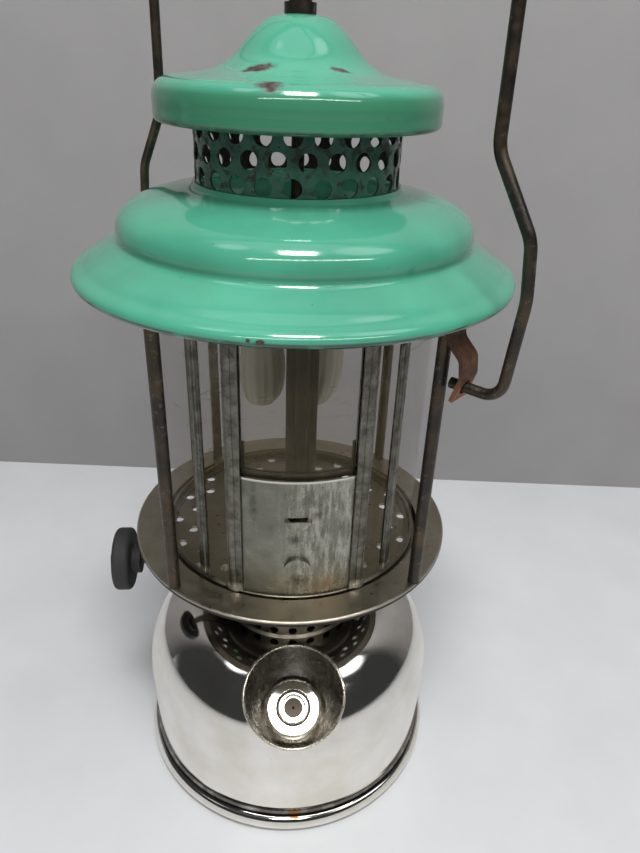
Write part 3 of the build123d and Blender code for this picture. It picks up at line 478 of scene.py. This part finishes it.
def mottled_tin():
    """Tin plate of the strips: dull grey, spangled, with dark flecks and brighter solder at the feet."""
    t = Finish("mottled_tin", (0.45, 0.45, 0.41), 0.33, 0.95)
    colour = t.mix(t.between(t.noise(4, 5), 0.35, 0.65), (0.20, 0.195, 0.165), (0.095, 0.09, 0.072))
    fleck = t.between(t.noise(1.3, 4, 0.7), 0.58, 0.66)
    colour = t.mix(t.work("MULTIPLY", fleck, 0.8), colour, (0.05, 0.045, 0.035))
    low = t.between(t.height(), *SOLDERED_FOOT)
    t.set("Base Color", t.mix(low, colour, (0.60, 0.58, 0.52)))
    t.set("Roughness", t.between(t.noise(2.5, 4), 0.3, 0.7, 0.25, 0.5))
    t.bump(t.noise(1.6, 4), 0.08)
    return t.material


def browned_steel():
    """Heat-browned steel wire and rod: nearly black, satin, with bronze tints."""
    s = Finish("browned_steel", (0.05, 0.045, 0.04), 0.36, 0.75)
    tint = s.between(s.noise(12, 4), 0.4, 0.7)
    colour = s.mix(tint, (0.040, 0.036, 0.032), (0.105, 0.075, 0.045))
    rub = s.between(s.noise(2.4, 5, 0.65), 0.58, 0.70)
    s.set("Base Color", s.mix(s.work("MULTIPLY", rub, 0.6), colour, (0.20, 0.17, 0.14)))
    s.set("Roughness", s.between(s.noise(3, 4), 0.3, 0.7, 0.28, 0.5))
    s.bump(s.noise(1.1, 4), 0.05)
    return s.material


def rusted_steel():
    """Ears: dark brown scale above, orange-brown rust towards the tip."""
    r = Finish("rusted_steel", (0.12, 0.06, 0.035), 0.66, 0.25)
    cloud = r.between(r.noise(4, 5, 0.65), 0.35, 0.68)
    colour = r.mix(cloud, (0.060, 0.030, 0.020), (0.17, 0.075, 0.038))
    tip = r.work("MULTIPLY", r.between(r.height(), *EAR_TIP), r.between(r.noise(5, 3), 0.3, 0.5))
    r.set("Base Color", r.mix(tip, colour, (0.33, 0.13, 0.045)))
    r.bump(r.noise(1.0, 5, 0.7), 0.22)
    return r.material


def brown_mica():
    """Clear smoky sheet: mostly seen through, warm grey, glossy, with a few fine scratches."""
    look = bpy.context.scene.lantern_look
    m = Finish("brown_mica", tuple(look.mica), 0.06, IOR=1.56, Alpha=look.mica_cover)
    cloud = m.between(m.noise(30, 4), 0.3, 0.7)
    tint = tuple(look.mica)
    m.set("Base Color", m.mix(cloud, tint, tuple(c * 0.7 for c in tint)))
    line = m.noise(3.0, 2, where=m.moved(turn=(0, 0.5, 0.2), stretch=(0.12, 0.12, 3.0)))
    scratch = m.between(line, 0.695, 0.715)
    m.set("Alpha", m.between(scratch, 0.0, 1.0, look.mica_cover, look.mica_cover + 0.22))
    m.set("Roughness", m.between(m.noise(8, 3), 0.3, 0.7, 0.05, 0.16))
    m.bump(m.noise(22, 2), 0.10)
    return m.material


def mantle_cloth():
    """Ashy knitted mesh: a fine grid of threads on the bag's own map, with open pores between them painted
    dark as painted shade of the bag's inside.
    """
    look = bpy.context.scene.lantern_look
    c = Finish("mantle_cloth", tuple(look.mantle), 0.9, Sheen_Weight=0.4)
    uv = c.tree.nodes.new("ShaderNodeTexCoord").outputs["UV"]
    parts = c.node("ShaderNodeSeparateXYZ", uv)
    round_way = c.work("SINE", c.work("MULTIPLY", parts.outputs["X"], 2 * pi * 54))
    long_way = c.work("SINE", c.work("MULTIPLY", parts.outputs["Y"], 2 * pi * 40))
    weave = c.work("MULTIPLY", round_way, long_way)
    cloud = c.between(c.noise(6, 4), 0.3, 0.7)
    colour = c.mix(cloud, tuple(look.mantle), tuple(v * 0.62 for v in look.mantle))
    # Painted shade: the pores between the threads are painted dark, for the shaded inside of the bag seen
    # through them.
    c.set("Base Color", c.mix(c.between(weave, 0.1, 0.9, 0.0, 0.45), colour, (0.12, 0.09, 0.05)))
    c.set("Alpha", c.between(weave, 0.35, 0.85, 0.95, 0.5))
    c.bump(c.work("ADD", weave, c.work("MULTIPLY", c.noise(3, 3), 2.0)), 0.12)
    return c.material


def plain_brass():
    """Turned brass, dulled brown in the heat."""
    b = Finish("plain_brass", (0.42, 0.29, 0.12), 0.36, 1.0)
    cloud = b.between(b.noise(7, 4), 0.3, 0.7)
    b.set("Base Color", b.mix(cloud, (0.47, 0.33, 0.14), (0.22, 0.14, 0.07)))
    b.set("Roughness", b.between(b.noise(3, 3), 0.3, 0.7, 0.26, 0.5))
    b.bump(b.noise(1.4, 3), 0.03)
    return b.material


def sooty_metal():
    """Tubes and burner: matt lamp-black above, scorched grey-brown metal below."""
    s = Finish("sooty_metal", (0.03, 0.028, 0.026), 0.75, 0.2)
    wandering = s.work("ADD", s.height(), s.work("MULTIPLY", s.noise(14, 4), 0.03))
    clean = s.between(wandering, *SCORCHED)
    blotch = s.between(s.noise(3, 5, 0.7), 0.35, 0.7)
    colour = s.mix(blotch, (0.008, 0.007, 0.006), (0.028, 0.024, 0.020))
    s.set("Base Color", s.mix(clean, colour, (0.12, 0.10, 0.075)))
    s.set("Roughness", s.between(clean, 0.0, 1.0, 0.85, 0.45))
    s.bump(s.noise(1.2, 5, 0.7), 0.25)
    return s.material


def black_fibre():
    """Pressed black fibre of the wheel, with a greenish-grey sheen."""
    f = Finish("black_fibre", (0.02, 0.021, 0.022), 0.42)
    cloud = f.between(f.noise(5, 4), 0.35, 0.7)
    f.set("Base Color", f.mix(cloud, (0.016, 0.017, 0.018), (0.055, 0.062, 0.060)))
    f.set("Roughness", f.between(f.noise(2, 4), 0.3, 0.7, 0.34, 0.6))
    f.bump(f.noise(0.9, 4), 0.06)
    return f.material


def oiled_leather():
    """Oiled cup leather, creased."""
    o = Finish("oiled_leather", (0.16, 0.085, 0.04), 0.55)
    o.set("Base Color", o.mix(o.noise(3, 4), (0.10, 0.05, 0.025), (0.24, 0.13, 0.06)))
    o.bump(o.noise(0.9, 4), 0.15)
    return o.material


def fuel_rubber():
    """Black rubber of the gasket."""
    g = Finish("fuel_rubber", (0.03, 0.03, 0.03), 0.7)
    g.set("Base Color", g.mix(g.noise(2, 3), (0.02, 0.02, 0.02), (0.06, 0.058, 0.055)))
    g.bump(g.noise(0.8, 3), 0.05)
    return g.material


FINISHES = {
    "green_enamel": vitreous_enamel,
    "nickel": polished_nickel,
    "plate_steel": dulled_plate,
    "tin_plate": tinned_door,
    "dark_steel": browned_steel,
    "rusty_steel": rusted_steel,
    "brass": plain_brass,
    "sooty_iron": sooty_metal,
    "mica": brown_mica,
    "mantle_cloth": mantle_cloth,
    "black_fibre": black_fibre,
    "leather": oiled_leather,
    "rubber": fuel_rubber,
}
SPECIAL = {
    "pump_knob": knob_nickel,
    "collar": underside_plate,
    "perforated_band": band_enamel,
    "globe_strips": mottled_tin,
    "door_guides": mottled_tin,
    "generator": sooty_metal,
    "air_tube": sooty_metal,
}


def material_for(maker):
    """The material that a maker function gives, made once."""
    return bpy.data.materials.get(maker.__name__) or maker()


# ------------------------------------------------------------- properties


class LanternLook(bpy.types.PropertyGroup):
    """Colours and surface values of the lantern's finishes."""

    enamel: FloatVectorProperty(
        name="Enamel",
        description="Colour of the green enamel",
        default=(0.085, 0.40, 0.265),
        subtype="COLOR",
    )
    enamel_roughness: FloatProperty(
        name="Enamel roughness", description="0 is mirror-like", default=0.12, min=0.0, max=1.0
    )
    nickel_roughness: FloatProperty(
        name="Nickel roughness", description="0 is mirror-like", default=0.05, min=0.0, max=1.0
    )
    mica: FloatVectorProperty(
        name="Mica", description="Tint of the mica sheet", default=(0.38, 0.30, 0.16), subtype="COLOR"
    )
    mica_cover: FloatProperty(
        name="Mica cover", description="How much the sheet hides", default=0.09, min=0.0, max=1.0
    )
    mantle: FloatVectorProperty(
        name="Mantle",
        description="Colour of the mantle mesh",
        default=(0.70, 0.59, 0.33),
        subtype="COLOR",
    )


class LanternMantles(bpy.types.PropertyGroup):
    """Shape of the two fabric bags."""

    fold_depth: FloatProperty(
        name="Fold depth", description="Depth of the soft folds", default=0.7 * MM, unit="LENGTH"
    )
    folds: IntProperty(name="Folds", description="Folds round each bag", default=7, min=3)


class LanternStage(bpy.types.PropertyGroup):
    """Floor, wall, lights and camera."""

    floor: FloatVectorProperty(
        name="Floor", description="Colour of the table", default=(0.70, 0.71, 0.725), subtype="COLOR"
    )
    wall: FloatVectorProperty(
        name="Wall",
        description="Colour of the wall behind",
        default=(0.37, 0.36, 0.362),
        subtype="COLOR",
    )
    wall_distance: FloatProperty(
        name="Wall distance", description="From the lantern's axis", default=0.242, unit="LENGTH"
    )
    wall_skew: FloatProperty(
        name="Wall skew",
        description="How much nearer the wall is to the right, metre for metre",
        default=0.093,
    )
    light: FloatProperty(name="Light", description="Strength of the studio light", default=1.0, min=0.0)
    lens: FloatProperty(
        name="Lens", description="Focal length", default=28.3, min=1.0, subtype="DISTANCE_CAMERA"
    )


# ---------------------------------------------------------------- pieces


def mantle_bag(side, depth, folds):
    """One mantle: a bag of revolution about its own axis whose outline runs from the tied neck over the
    belly to a pinched bottom, with its radius rippled by sines of the angle that fade at the neck, and
    its lower end drawn flat and slightly askew where the cloth is gathered."""
    low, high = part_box("mantle_" + side)
    middle = (low + high) / 2
    half = (high.x - low.x) / 2 / MM
    top, bottom = high.z / MM, low.z / MM
    tall = top - bottom
    outline = curve_through(
        [
            (half * 0.54, top),
            (half * 0.52, top - 2.2),
            (half * 0.80, top - 0.18 * tall),
            (half * 0.98, top - 0.44 * tall),
            (half * 0.99, top - 0.66 * tall),
            (half * 0.86, top - 0.84 * tall),
            (half * 0.52, bottom + 2.2),
            (half * 0.16, bottom + 0.7),
            (0.0, bottom),
        ],
        16,
    )
    angle = np.linspace(0, 2 * pi, 180, endpoint=False)[None, :]
    radius, height = outline[:, 0, None], outline[:, 1, None]
    down = (top - height) / tall
    lean = 1.0 if side == "right" else -1.0
    coarse = np.sin(folds * angle + 2.2 * down * lean)
    ripple = coarse + 0.45 * np.sin((2 * folds + 3) * angle - 3 * down)
    shrink = 1 - (depth / MM / half) * (0.5 + 0.5 * ripple) * (0.25 + down) * (radius > 0)
    flat = 1 - 0.45 * np.clip((down - 0.62) / 0.38, 0, 1) ** 2
    aside, narrower = GATHER[side]
    radius = radius * shrink * (1 - narrower * down)
    x = middle.x / MM + radius * np.cos(angle) - aside * np.clip(down, 0, 1) ** 2
    y = middle.y / MM + radius * np.sin(angle) * flat
    points = np.stack([x, y, height + 0 * angle], -1) * MM
    bag = skin("mantle_bag_" + side, points, wrap_columns=True, sharp=80)
    place = np.empty(len(bag.data.vertices) * 3)
    bag.data.vertices.foreach_get("co", place)
    place = place.reshape(-1, 3)
    corners = np.empty(len(bag.data.loops), int)
    bag.data.loops.foreach_get("vertex_index", corners)
    turn = np.arctan2(place[:, 1] - middle.y, place[:, 0] - middle.x) / (2 * pi) % 1
    drop = (high.z - place[:, 2]) / (high.z - low.z)
    chart = bag.data.uv_layers.new(name="UVMap")
    chart.data.foreach_set("uv", np.stack([turn[corners], drop[corners]], -1).ravel())
    return bag


def thick(outline, wall):
    """Closed outline of a sheet: the line, then the same line set back by the wall along its normals."""
    along = np.gradient(outline, axis=0)
    along /= np.linalg.norm(along, axis=1, keepdims=True)
    back = outline + wall * np.stack([along[:, 1], -along[:, 0]], -1)
    return np.vstack([outline, back[::-1]])


def shade_sheet():
    """The enamelled shade: a line from the rolled brim up the cone, over the valley and the shoulder to the
    neck, given a thickness and turned about the lantern's axis."""
    low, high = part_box("shade")
    brim, foot = high.x / MM - ENAMEL_SHEET, low.z / MM
    neck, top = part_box("perforated_band")[1].x / MM, high.z / MM
    line = curve_through(
        [
            (brim - 0.9, foot + 0.15),
            (brim - 0.1, foot + 0.9),
            (brim - 0.15, foot + 2.0),
            (brim - 1.3, foot + 3.1),
            (brim - 4.0, foot + 4.5),
            (76.0, 259.3),
            (70.0, 262.4),
            (66.8, 264.3),
            (65.7, 266.2),
            (66.0, 269.6),
            (64.4, 273.6),
            (59.6, 277.2),
            (51.4, 279.9),
            (43.0, 281.5),
            (neck + 1.6, 282.6),
            (neck, top),
        ],
        10,
    )
    return turned("shade_sheet", thick(line, ENAMEL_SHEET), 320, sharp=50)


def cap_sheet():
    """The enamelled cap: a line from the skirt's edge up round the shoulder and along the flare to the stud
    hole, given a thickness and turned about the lantern's axis."""
    low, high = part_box("cap")
    skirt, foot, top = high.x / MM - ENAMEL_SHEET, low.z / MM, high.z / MM
    line = curve_through(
        [
            (skirt - 0.8, foot + 0.1),
            (skirt, foot + 0.9),
            (skirt, foot + 3.6),
            (skirt, foot + 7.0),
            (skirt - 0.9, foot + 9.8),
            (skirt - 3.6, foot + 11.7),
            (38.0, 318.6),
            (30.0, 320.1),
            (25.5, 322.2),
            (21.6, 325.1),
            (16.2, 331.0),
            (11.2, 335.2),
            (7.0, top - 0.35),
            (2.5, top - 0.2),
        ],
        10,
    )
    return turned("cap_sheet", thick(line, ENAMEL_SHEET), 288, sharp=50)


class LANTERN_OT_enamel(bpy.types.Operator):
    """Turns the enamelled shade and cap"""

    bl_idname = "lantern.enamel"
    bl_label = "Enamelled shade and cap"

    def execute(self, context):
        coat = material_for(vitreous_enamel)
        finish_piece(shade_sheet(), "root", coat, "green_enamel", "shade")
        finish_piece(cap_sheet(), "root", coat, "green_enamel", "cap")
        return {"FINISHED"}


def over_fount(points):
    """How far points are outside the fount's outline: below 0 inside it, above 0 outside."""
    radius, height = np.hypot(points[..., 0], points[..., 1]), points[..., 2]
    across = (radius - SHOULDER_START[0]) / SHOULDER_SPAN[0]
    up = (height - SHOULDER_START[1]) / SHOULDER_SPAN[1]
    return np.where(up > 0, np.sqrt(np.maximum(across, 0) ** 2 + up**2), across) - 1


def tilted_circle(centre, tilt, radius, lift, angle):
    """Circle in a plane that faces the front and up by a tilt, lifted along the plane's normal."""
    lean = radians(tilt)
    normal = np.array([0, -cos(lean), sin(lean)])
    upward = np.array([0, sin(lean), cos(lean)])
    ring = radius * (np.cos(angle)[:, None] * np.array([1, 0, 0]) + np.sin(angle)[:, None] * upward)
    return np.array(centre) + ring + lift * normal


def pump_dish():
    """The pump recess: straight rules run from a wide circle above the lip to the floor's circle. Each is
    cut where it meets the fount, a small bead rolls over that edge, and the wall sags to the floor like a
    bowl."""
    angle = np.linspace(0, 2 * pi, 300, endpoint=False)
    above = tilted_circle(LIP_CENTRE, LIP_TILT, LIP_R + 1.0, 12.0, angle)
    lip = tilted_circle(LIP_CENTRE, LIP_TILT, LIP_R, 1.0, angle)
    floor = tilted_circle(FLOOR_CENTRE, FLOOR_TILT, FLOOR_R, -FLOOR_DROP, angle)
    t = np.linspace(0, 1, 400)[:, None, None]
    rules = np.concatenate([above + (lip - above) * t, lip + (floor - lip) * t[1:]])
    outside = over_fount(rules)
    last = np.argmax(outside < 0, axis=0)
    pick = np.arange(len(angle))
    low, high = outside[last, pick], outside[last - 1, pick]
    share = (high / (high - low))[:, None]
    edge = rules[last - 1, pick] * (1 - share) + rules[last, pick] * share
    step = 0.01
    slopes = [(over_fount(edge + step * axis) - over_fount(edge)) / step for axis in np.eye(3)]
    normal = np.stack(slopes, -1)
    normal /= np.linalg.norm(normal, axis=1, keepdims=True)
    away = edge - edge.mean(axis=0)
    away -= (away * normal).sum(1, keepdims=True) * normal
    away /= np.linalg.norm(away, axis=1, keepdims=True)
    turn = np.linspace(-0.15 * pi, 1.15 * pi, 14)[:, None, None]
    bead = edge + BEAD_WIDTH * np.cos(turn) * away + (BEAD_HEIGHT * np.sin(turn) - BEAD_SINK) * normal
    start = bead[-1]
    down = np.linspace(0, 1, 40)[1:, None, None]
    floor_normal = np.array([0, -cos(radians(FLOOR_TILT)), sin(radians(FLOOR_TILT))])
    wall = start * (1 - down) + floor * down - DISH_SAG * np.sin(pi * down) * floor_normal
    inner = tilted_circle(FLOOR_CENTRE, FLOOR_TILT, DISH_HOLE_R, -FLOOR_DROP, angle)
    top_side = np.concatenate([bead, wall, inner[None]])
    under_side = top_side[::-1] - DISH_SHEET * floor_normal
    return skin("pump_dish", np.concatenate([top_side, under_side]) * MM, True, True, sharp=60)


class LANTERN_OT_pump_dish(bpy.types.Operator):
    """Makes the dish of the pump recess, with its beaded lip"""

    bl_idname = "lantern.pump_dish"
    bl_label = "Pump dish"

    def execute(self, context):
        finish_piece(pump_dish(), "root", material_for(dish_nickel_painted_dark), "nickel", "pump_cup")
        return {"FINISHED"}


def rib(name, azimuth, radius, foot, top, half_width, rise):
    """Rounded rib up the globe: half an ellipse with a flat back, carried up the axis, whose place along
    the globe wanders by a slow sine, with both ends closed on their middle point."""
    height = np.linspace(foot, top, 90)[:, None]
    round_part = np.linspace(0, pi, 15)
    flat_part = np.linspace(pi, 2 * pi, 6)[1:-1]
    across = half_width * np.concatenate([np.cos(round_part), np.cos(flat_part)])
    out = rise * np.concatenate([np.sin(round_part), 0 * flat_part])
    across = across + 0.10 * np.sin(height * 0.11 + azimuth) * np.ones_like(across)
    out = out * (1 + 0.07 * np.sin(height * 0.23 + 2 * azimuth))
    a = radians(azimuth)
    x = (radius + out) * sin(a) + across * cos(a)
    y = -(radius + out) * cos(a) + across * sin(a)
    points = np.stack([x, y, height + 0 * x], -1)
    ends = points.mean(axis=1, keepdims=True) + 0 * points
    points = np.concatenate([ends[:1], points, ends[-1:]]) * MM
    return skin(name, points, wrap_columns=True, sharp=50)


def blob(name, centre, size, facing):
    """Lump of solder: a ball stretched along its three axes and turned to face out at an azimuth, with its
    radius made uneven by sines of both angles."""
    around = np.linspace(0, 2 * pi, 40, endpoint=False)[None, :]
    down = np.linspace(0, pi, 22)[:, None]
    uneven = 1 + 0.10 * np.sin(3 * around + 2 * down) * np.sin(down)
    across = size[0] * uneven * np.sin(down) * np.cos(around)
    out = size[1] * uneven * np.sin(down) * np.sin(around)
    up = size[2] * np.cos(down) + 0 * around
    a = radians(facing)
    x = centre[0] + out * sin(a) + across * cos(a)
    y = centre[1] - out * cos(a) + across * sin(a)
    return skin(name, np.stack([x, y, centre[2] + up], -1) * MM, wrap_columns=True, sharp=80)


class LANTERN_OT_globe_ribs(bpy.types.Operator):
    """Raises the rounded ribs of the globe's strips and door guides, and the solder at their feet"""

    bl_idname = "lantern.globe_ribs"
    bl_label = "Globe ribs and solder"

    def execute(self, context):
        tin = material_for(mottled_tin)
        low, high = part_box("door_guides")
        foot, top = low.z / MM, high.z / MM
        guide_face, strip_face = GLOBE_R + GUIDE_STEP, GLOBE_R + STRIP_STEP
        for number, azimuth in enumerate(GUIDE_AZIMUTHS):
            ridge = rib(f"guide_rib_{number}", azimuth, guide_face, foot + 1.5, top - 0.2, *GUIDE_RIB)
            finish_piece(ridge, "root", tin, "plate_steel")
            a = radians(azimuth)
            centre = (SOLDER_R * sin(a), -SOLDER_R * cos(a), foot + 0.6)
            solder = blob(f"solder_{number}", centre, SOLDER_SIZE, azimuth)
            finish_piece(solder, "root", tin, "plate_steel")
        for number, azimuth in enumerate(STRIP_AZIMUTHS):
            ridge = rib(f"strip_rib_{number}", azimuth, strip_face, foot + 0.4, top - 0.2, *STRIP_RIB)
            finish_piece(ridge, "root", tin, "plate_steel")
        return {"FINISHED"}


def threaded_stud():
    """The stud: its radius dips by a sine of the height less the angle, which makes a helix, over the upper
    part, and is plain lower down. Both ends close on the axis."""
    low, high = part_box("stud")
    radius, foot, top = high.x / MM, low.z / MM, high.z / MM
    angle = np.linspace(0, 2 * pi, 64, endpoint=False)[None, :]
    plain, thread = np.linspace(foot, PLAIN_TOP, 8), np.linspace(PLAIN_TOP + 0.1, top - 0.7, 200)
    height = np.concatenate([plain, thread])[:, None]
    cut = np.clip((height - THREAD_FOOT) / 2.0, 0, 1) * THREAD_DEPTH
    ring = radius - cut * (1 + np.sin(2 * pi * height / THREAD_PITCH - angle))
    tip = np.array([[top - 0.3], [top], [top]])
    tip_ring = np.array([[radius - 0.5], [radius - 1.0], [0.0]]) + 0 * angle
    ring = np.concatenate([0 * angle, ring, tip_ring])
    height = np.concatenate([[[foot]], height, tip])
    points = np.stack([ring * np.cos(angle), ring * np.sin(angle), height + 0 * angle], -1) * MM
    return skin("threaded_stud", points, wrap_columns=True, sharp=60)


class LANTERN_OT_stud(bpy.types.Operator):
    """Cuts the thread of the stud under the top nut"""

    bl_idname = "lantern.stud"
    bl_label = "Threaded stud"

    def execute(self, context):
        finish_piece(threaded_stud(), "root", material_for(browned_steel), "dark_steel", "stud")
        return {"FINISHED"}


class LANTERN_OT_mantles(bpy.types.Operator):
    """Makes the two fabric mantles that hang from the burner caps"""

    bl_idname = "lantern.mantles"
    bl_label = "Mantles"

    def execute(self, context):
        bags = context.scene.lantern_mantles
        for side in ("left", "right"):
            bag = mantle_bag(side, bags.fold_depth, bags.folds)
            node = "mantle_" + side
            finish_piece(bag, "root", material_for(mantle_cloth), "mantle_cloth", node)
        return {"FINISHED"}


class LANTERN_OT_finishes(bpy.types.Operator):
    """Gives each metal, enamel and mica piece its own finish"""

    bl_idname = "lantern.finishes"
    bl_label = "Finishes"

    def execute(self, context):
        slots = {s["node"]: s["material_slot"] for s in frame["record"]["subparts"]}
        for name, node in NODES.items():
            maker = SPECIAL.get(name) or FINISHES[slots[name]]
            node.data.materials.clear()
            node.data.materials.append(material_for(maker))
        return {"FINISHED"}


def lamp(name, place, aim, size, power, colour=(1, 1, 1)):
    """Soft rectangular lamp at a place, turned towards a point."""
    light = bpy.data.lights.new(name, "AREA")
    light.shape = "RECTANGLE"
    light.size, light.size_y = size
    light.energy = power
    light.color = colour
    stand = bpy.data.objects.new(name, light)
    stand.location = place
    stand.rotation_mode = "QUATERNION"
    stand.rotation_quaternion = (Vector(aim) - Vector(place)).to_track_quat("-Z", "Y")
    bpy.context.scene.collection.objects.link(stand)


def stage_sheet(name, corners, colour, roughness):
    """Plain flat sheet of the stage through four corners, faintly clouded."""
    points = np.array(corners, float).reshape(2, 2, 3)
    sheet = skin(name, points)
    paint = Finish(name + "_paint", tuple(colour), roughness)
    cloud = paint.between(paint.noise(60, 4), 0.3, 0.7)
    paint.set("Base Color", paint.mix(cloud, tuple(colour), tuple(c * 0.93 for c in colour)))
    sheet.data.materials.append(paint.material)


def room_light(strength):
    """World light: a dim room with a pale ceiling over the lantern and a window high up on each side."""
    world = bpy.data.worlds.new("room")
    bpy.context.scene.world = world
    world.use_nodes = True
    tree = world.node_tree
    way = tree.nodes.new("ShaderNodeTexCoord").outputs["Generated"]
    parts = tree.nodes.new("ShaderNodeSeparateXYZ")
    tree.links.new(way, parts.inputs[0])

    def math(operation, first, second=0.0, third=0.0):
        made = tree.nodes.new("ShaderNodeMath")
        made.operation = operation
        for socket, value in zip(made.inputs, (first, second, third)):
            if isinstance(value, bpy.types.NodeSocket):
                tree.links.new(value, socket)
            else:
                socket.default_value = value
        return made.outputs[0]

    def patch(aim, inner, outer):
        """1 within an angle of a direction, 0 outside a wider one."""
        aim = Vector(aim).normalized()
        near = math("MULTIPLY", parts.outputs[0], aim.x)
        near = math("MULTIPLY_ADD", parts.outputs[1], aim.y, near)
        near = math("MULTIPLY_ADD", parts.outputs[2], aim.z, near)
        made = tree.nodes.new("ShaderNodeMapRange")
        made.interpolation_type = "SMOOTHSTEP"
        tree.links.new(near, made.inputs[0])
        for number, angle in ((1, outer), (2, inner)):
            made.inputs[number].default_value = cos(radians(angle))
        return made.outputs[0]

    ahead = patch((0.0, -0.80, 0.60), 88, 108)
    window = math("MAXIMUM", patch((0.45, -0.12, 0.88), 9, 16), patch((-0.42, -0.06, 0.90), 4, 9))
    ceiling = math("MULTIPLY", patch((0.0, 0.25, 1.0), 20, 38), 0.75)
    bright = math("MAXIMUM", math("MULTIPLY", window, 2.2), ceiling)
    dark = math("MULTIPLY_ADD", bright, -2.0, ahead)
    level = math("MULTIPLY_ADD", dark, -0.93 * strength, strength)
    tree.links.new(level, tree.nodes["Background"].inputs["Strength"])
    tree.nodes["Background"].inputs["Color"].default_value = (0.93, 0.96, 1.0, 1)


class LANTERN_OT_stage(bpy.types.Operator):
    """Lays the floor and the wall, hangs the lamps and sets up the camera"""

    bl_idname = "lantern.stage"
    bl_label = "Stage"

    def execute(self, context):
        set_up = context.scene.lantern_stage
        far = set_up.wall_distance
        skew = set_up.wall_skew * STAGE_REACH
        near = ((-STAGE_REACH, -STAGE_REACH, 0), (STAGE_REACH, -STAGE_REACH, 0))
        line, top = (
            ((-STAGE_REACH, far + skew, height), (STAGE_REACH, far - skew, height))
            for height in (0, WALL_HEIGHT)
        )
        stage_sheet("floor", (*near, *line), set_up.floor, 0.5)
        stage_sheet("wall", (*line, *top), set_up.wall, 0.8)
        room_light(0.62 * set_up.light)
        lamp("ceiling", (0.0, -0.40, 1.30), (0, -0.05, 0.1), (0.30, 0.24), 9.5 * set_up.light)
        warm = (1, 0.98, 0.94)
        lamp("tube_lamp", (0.1, -0.80, 0.95), (0, 0, 0.25), (1.4, 0.03), 5.0 * set_up.light, warm)
        camera = bpy.data.objects.new("camera", bpy.data.cameras.new("camera"))
        camera.data.lens = set_up.lens
        camera.data.sensor_width = SENSOR_WIDTH
        camera.data.clip_start = 0.01
        heading = Matrix.Rotation(radians(CAMERA_HEADING), 4, "Z")
        tilt = Matrix.Rotation(radians(CAMERA_TILT), 4, "X")
        roll = Matrix.Rotation(radians(CAMERA_ROLL), 4, "Z")
        camera.matrix_world = Matrix.Translation(CAMERA_PLACE) @ heading @ tilt @ roll
        context.scene.collection.objects.link(camera)
        context.scene.camera = camera
        context.scene.view_settings.view_transform = "Standard"
        return {"FINISHED"}


class LANTERN_PT_panel(bpy.types.Panel):
    """Lists the lantern's pieces and their values in the sidebar"""

    bl_label = "Pressure lantern"
    bl_idname = "LANTERN_PT_panel"
    bl_space_type = "VIEW_3D"
    bl_region_type = "UI"
    bl_category = "Lantern"

    def draw(self, context):
        for group in ("lantern_look", "lantern_mantles", "lantern_stage"):
            values = getattr(context.scene, group)
            box = self.layout.box()
            for name in values.bl_rna.properties.keys():
                if name not in ("rna_type", "name"):
                    box.prop(values, name)
        for operator in OPERATORS:
            self.layout.operator(operator.bl_idname)


OPERATORS = (
    LANTERN_OT_finishes,
    LANTERN_OT_enamel,
    LANTERN_OT_pump_dish,
    LANTERN_OT_globe_ribs,
    LANTERN_OT_stud,
    LANTERN_OT_mantles,
    LANTERN_OT_stage,
)
GROUPS = (
    ("lantern_look", LanternLook),
    ("lantern_mantles", LanternMantles),
    ("lantern_stage", LanternStage),
)


def register():
    for name, group in GROUPS:
        bpy.utils.register_class(group)
        setattr(bpy.types.Scene, name, PointerProperty(type=group))
    for operator in OPERATORS:
        bpy.utils.register_class(operator)
    bpy.utils.register_class(LANTERN_PT_panel)


def unregister():
    bpy.utils.unregister_class(LANTERN_PT_panel)
    for operator in reversed(OPERATORS):
        bpy.utils.unregister_class(operator)
    for name, group in reversed(GROUPS):
        delattr(bpy.types.Scene, name)
        bpy.utils.unregister_class(group)


def main():
    register()
    bpy.ops.lantern.finishes()
    bpy.ops.lantern.enamel()
    bpy.ops.lantern.pump_dish()
    bpy.ops.lantern.globe_ribs()
    bpy.ops.lantern.stud()
    bpy.ops.lantern.mantles()
    bpy.ops.lantern.stage()


if __name__ == "__main__":
    main()
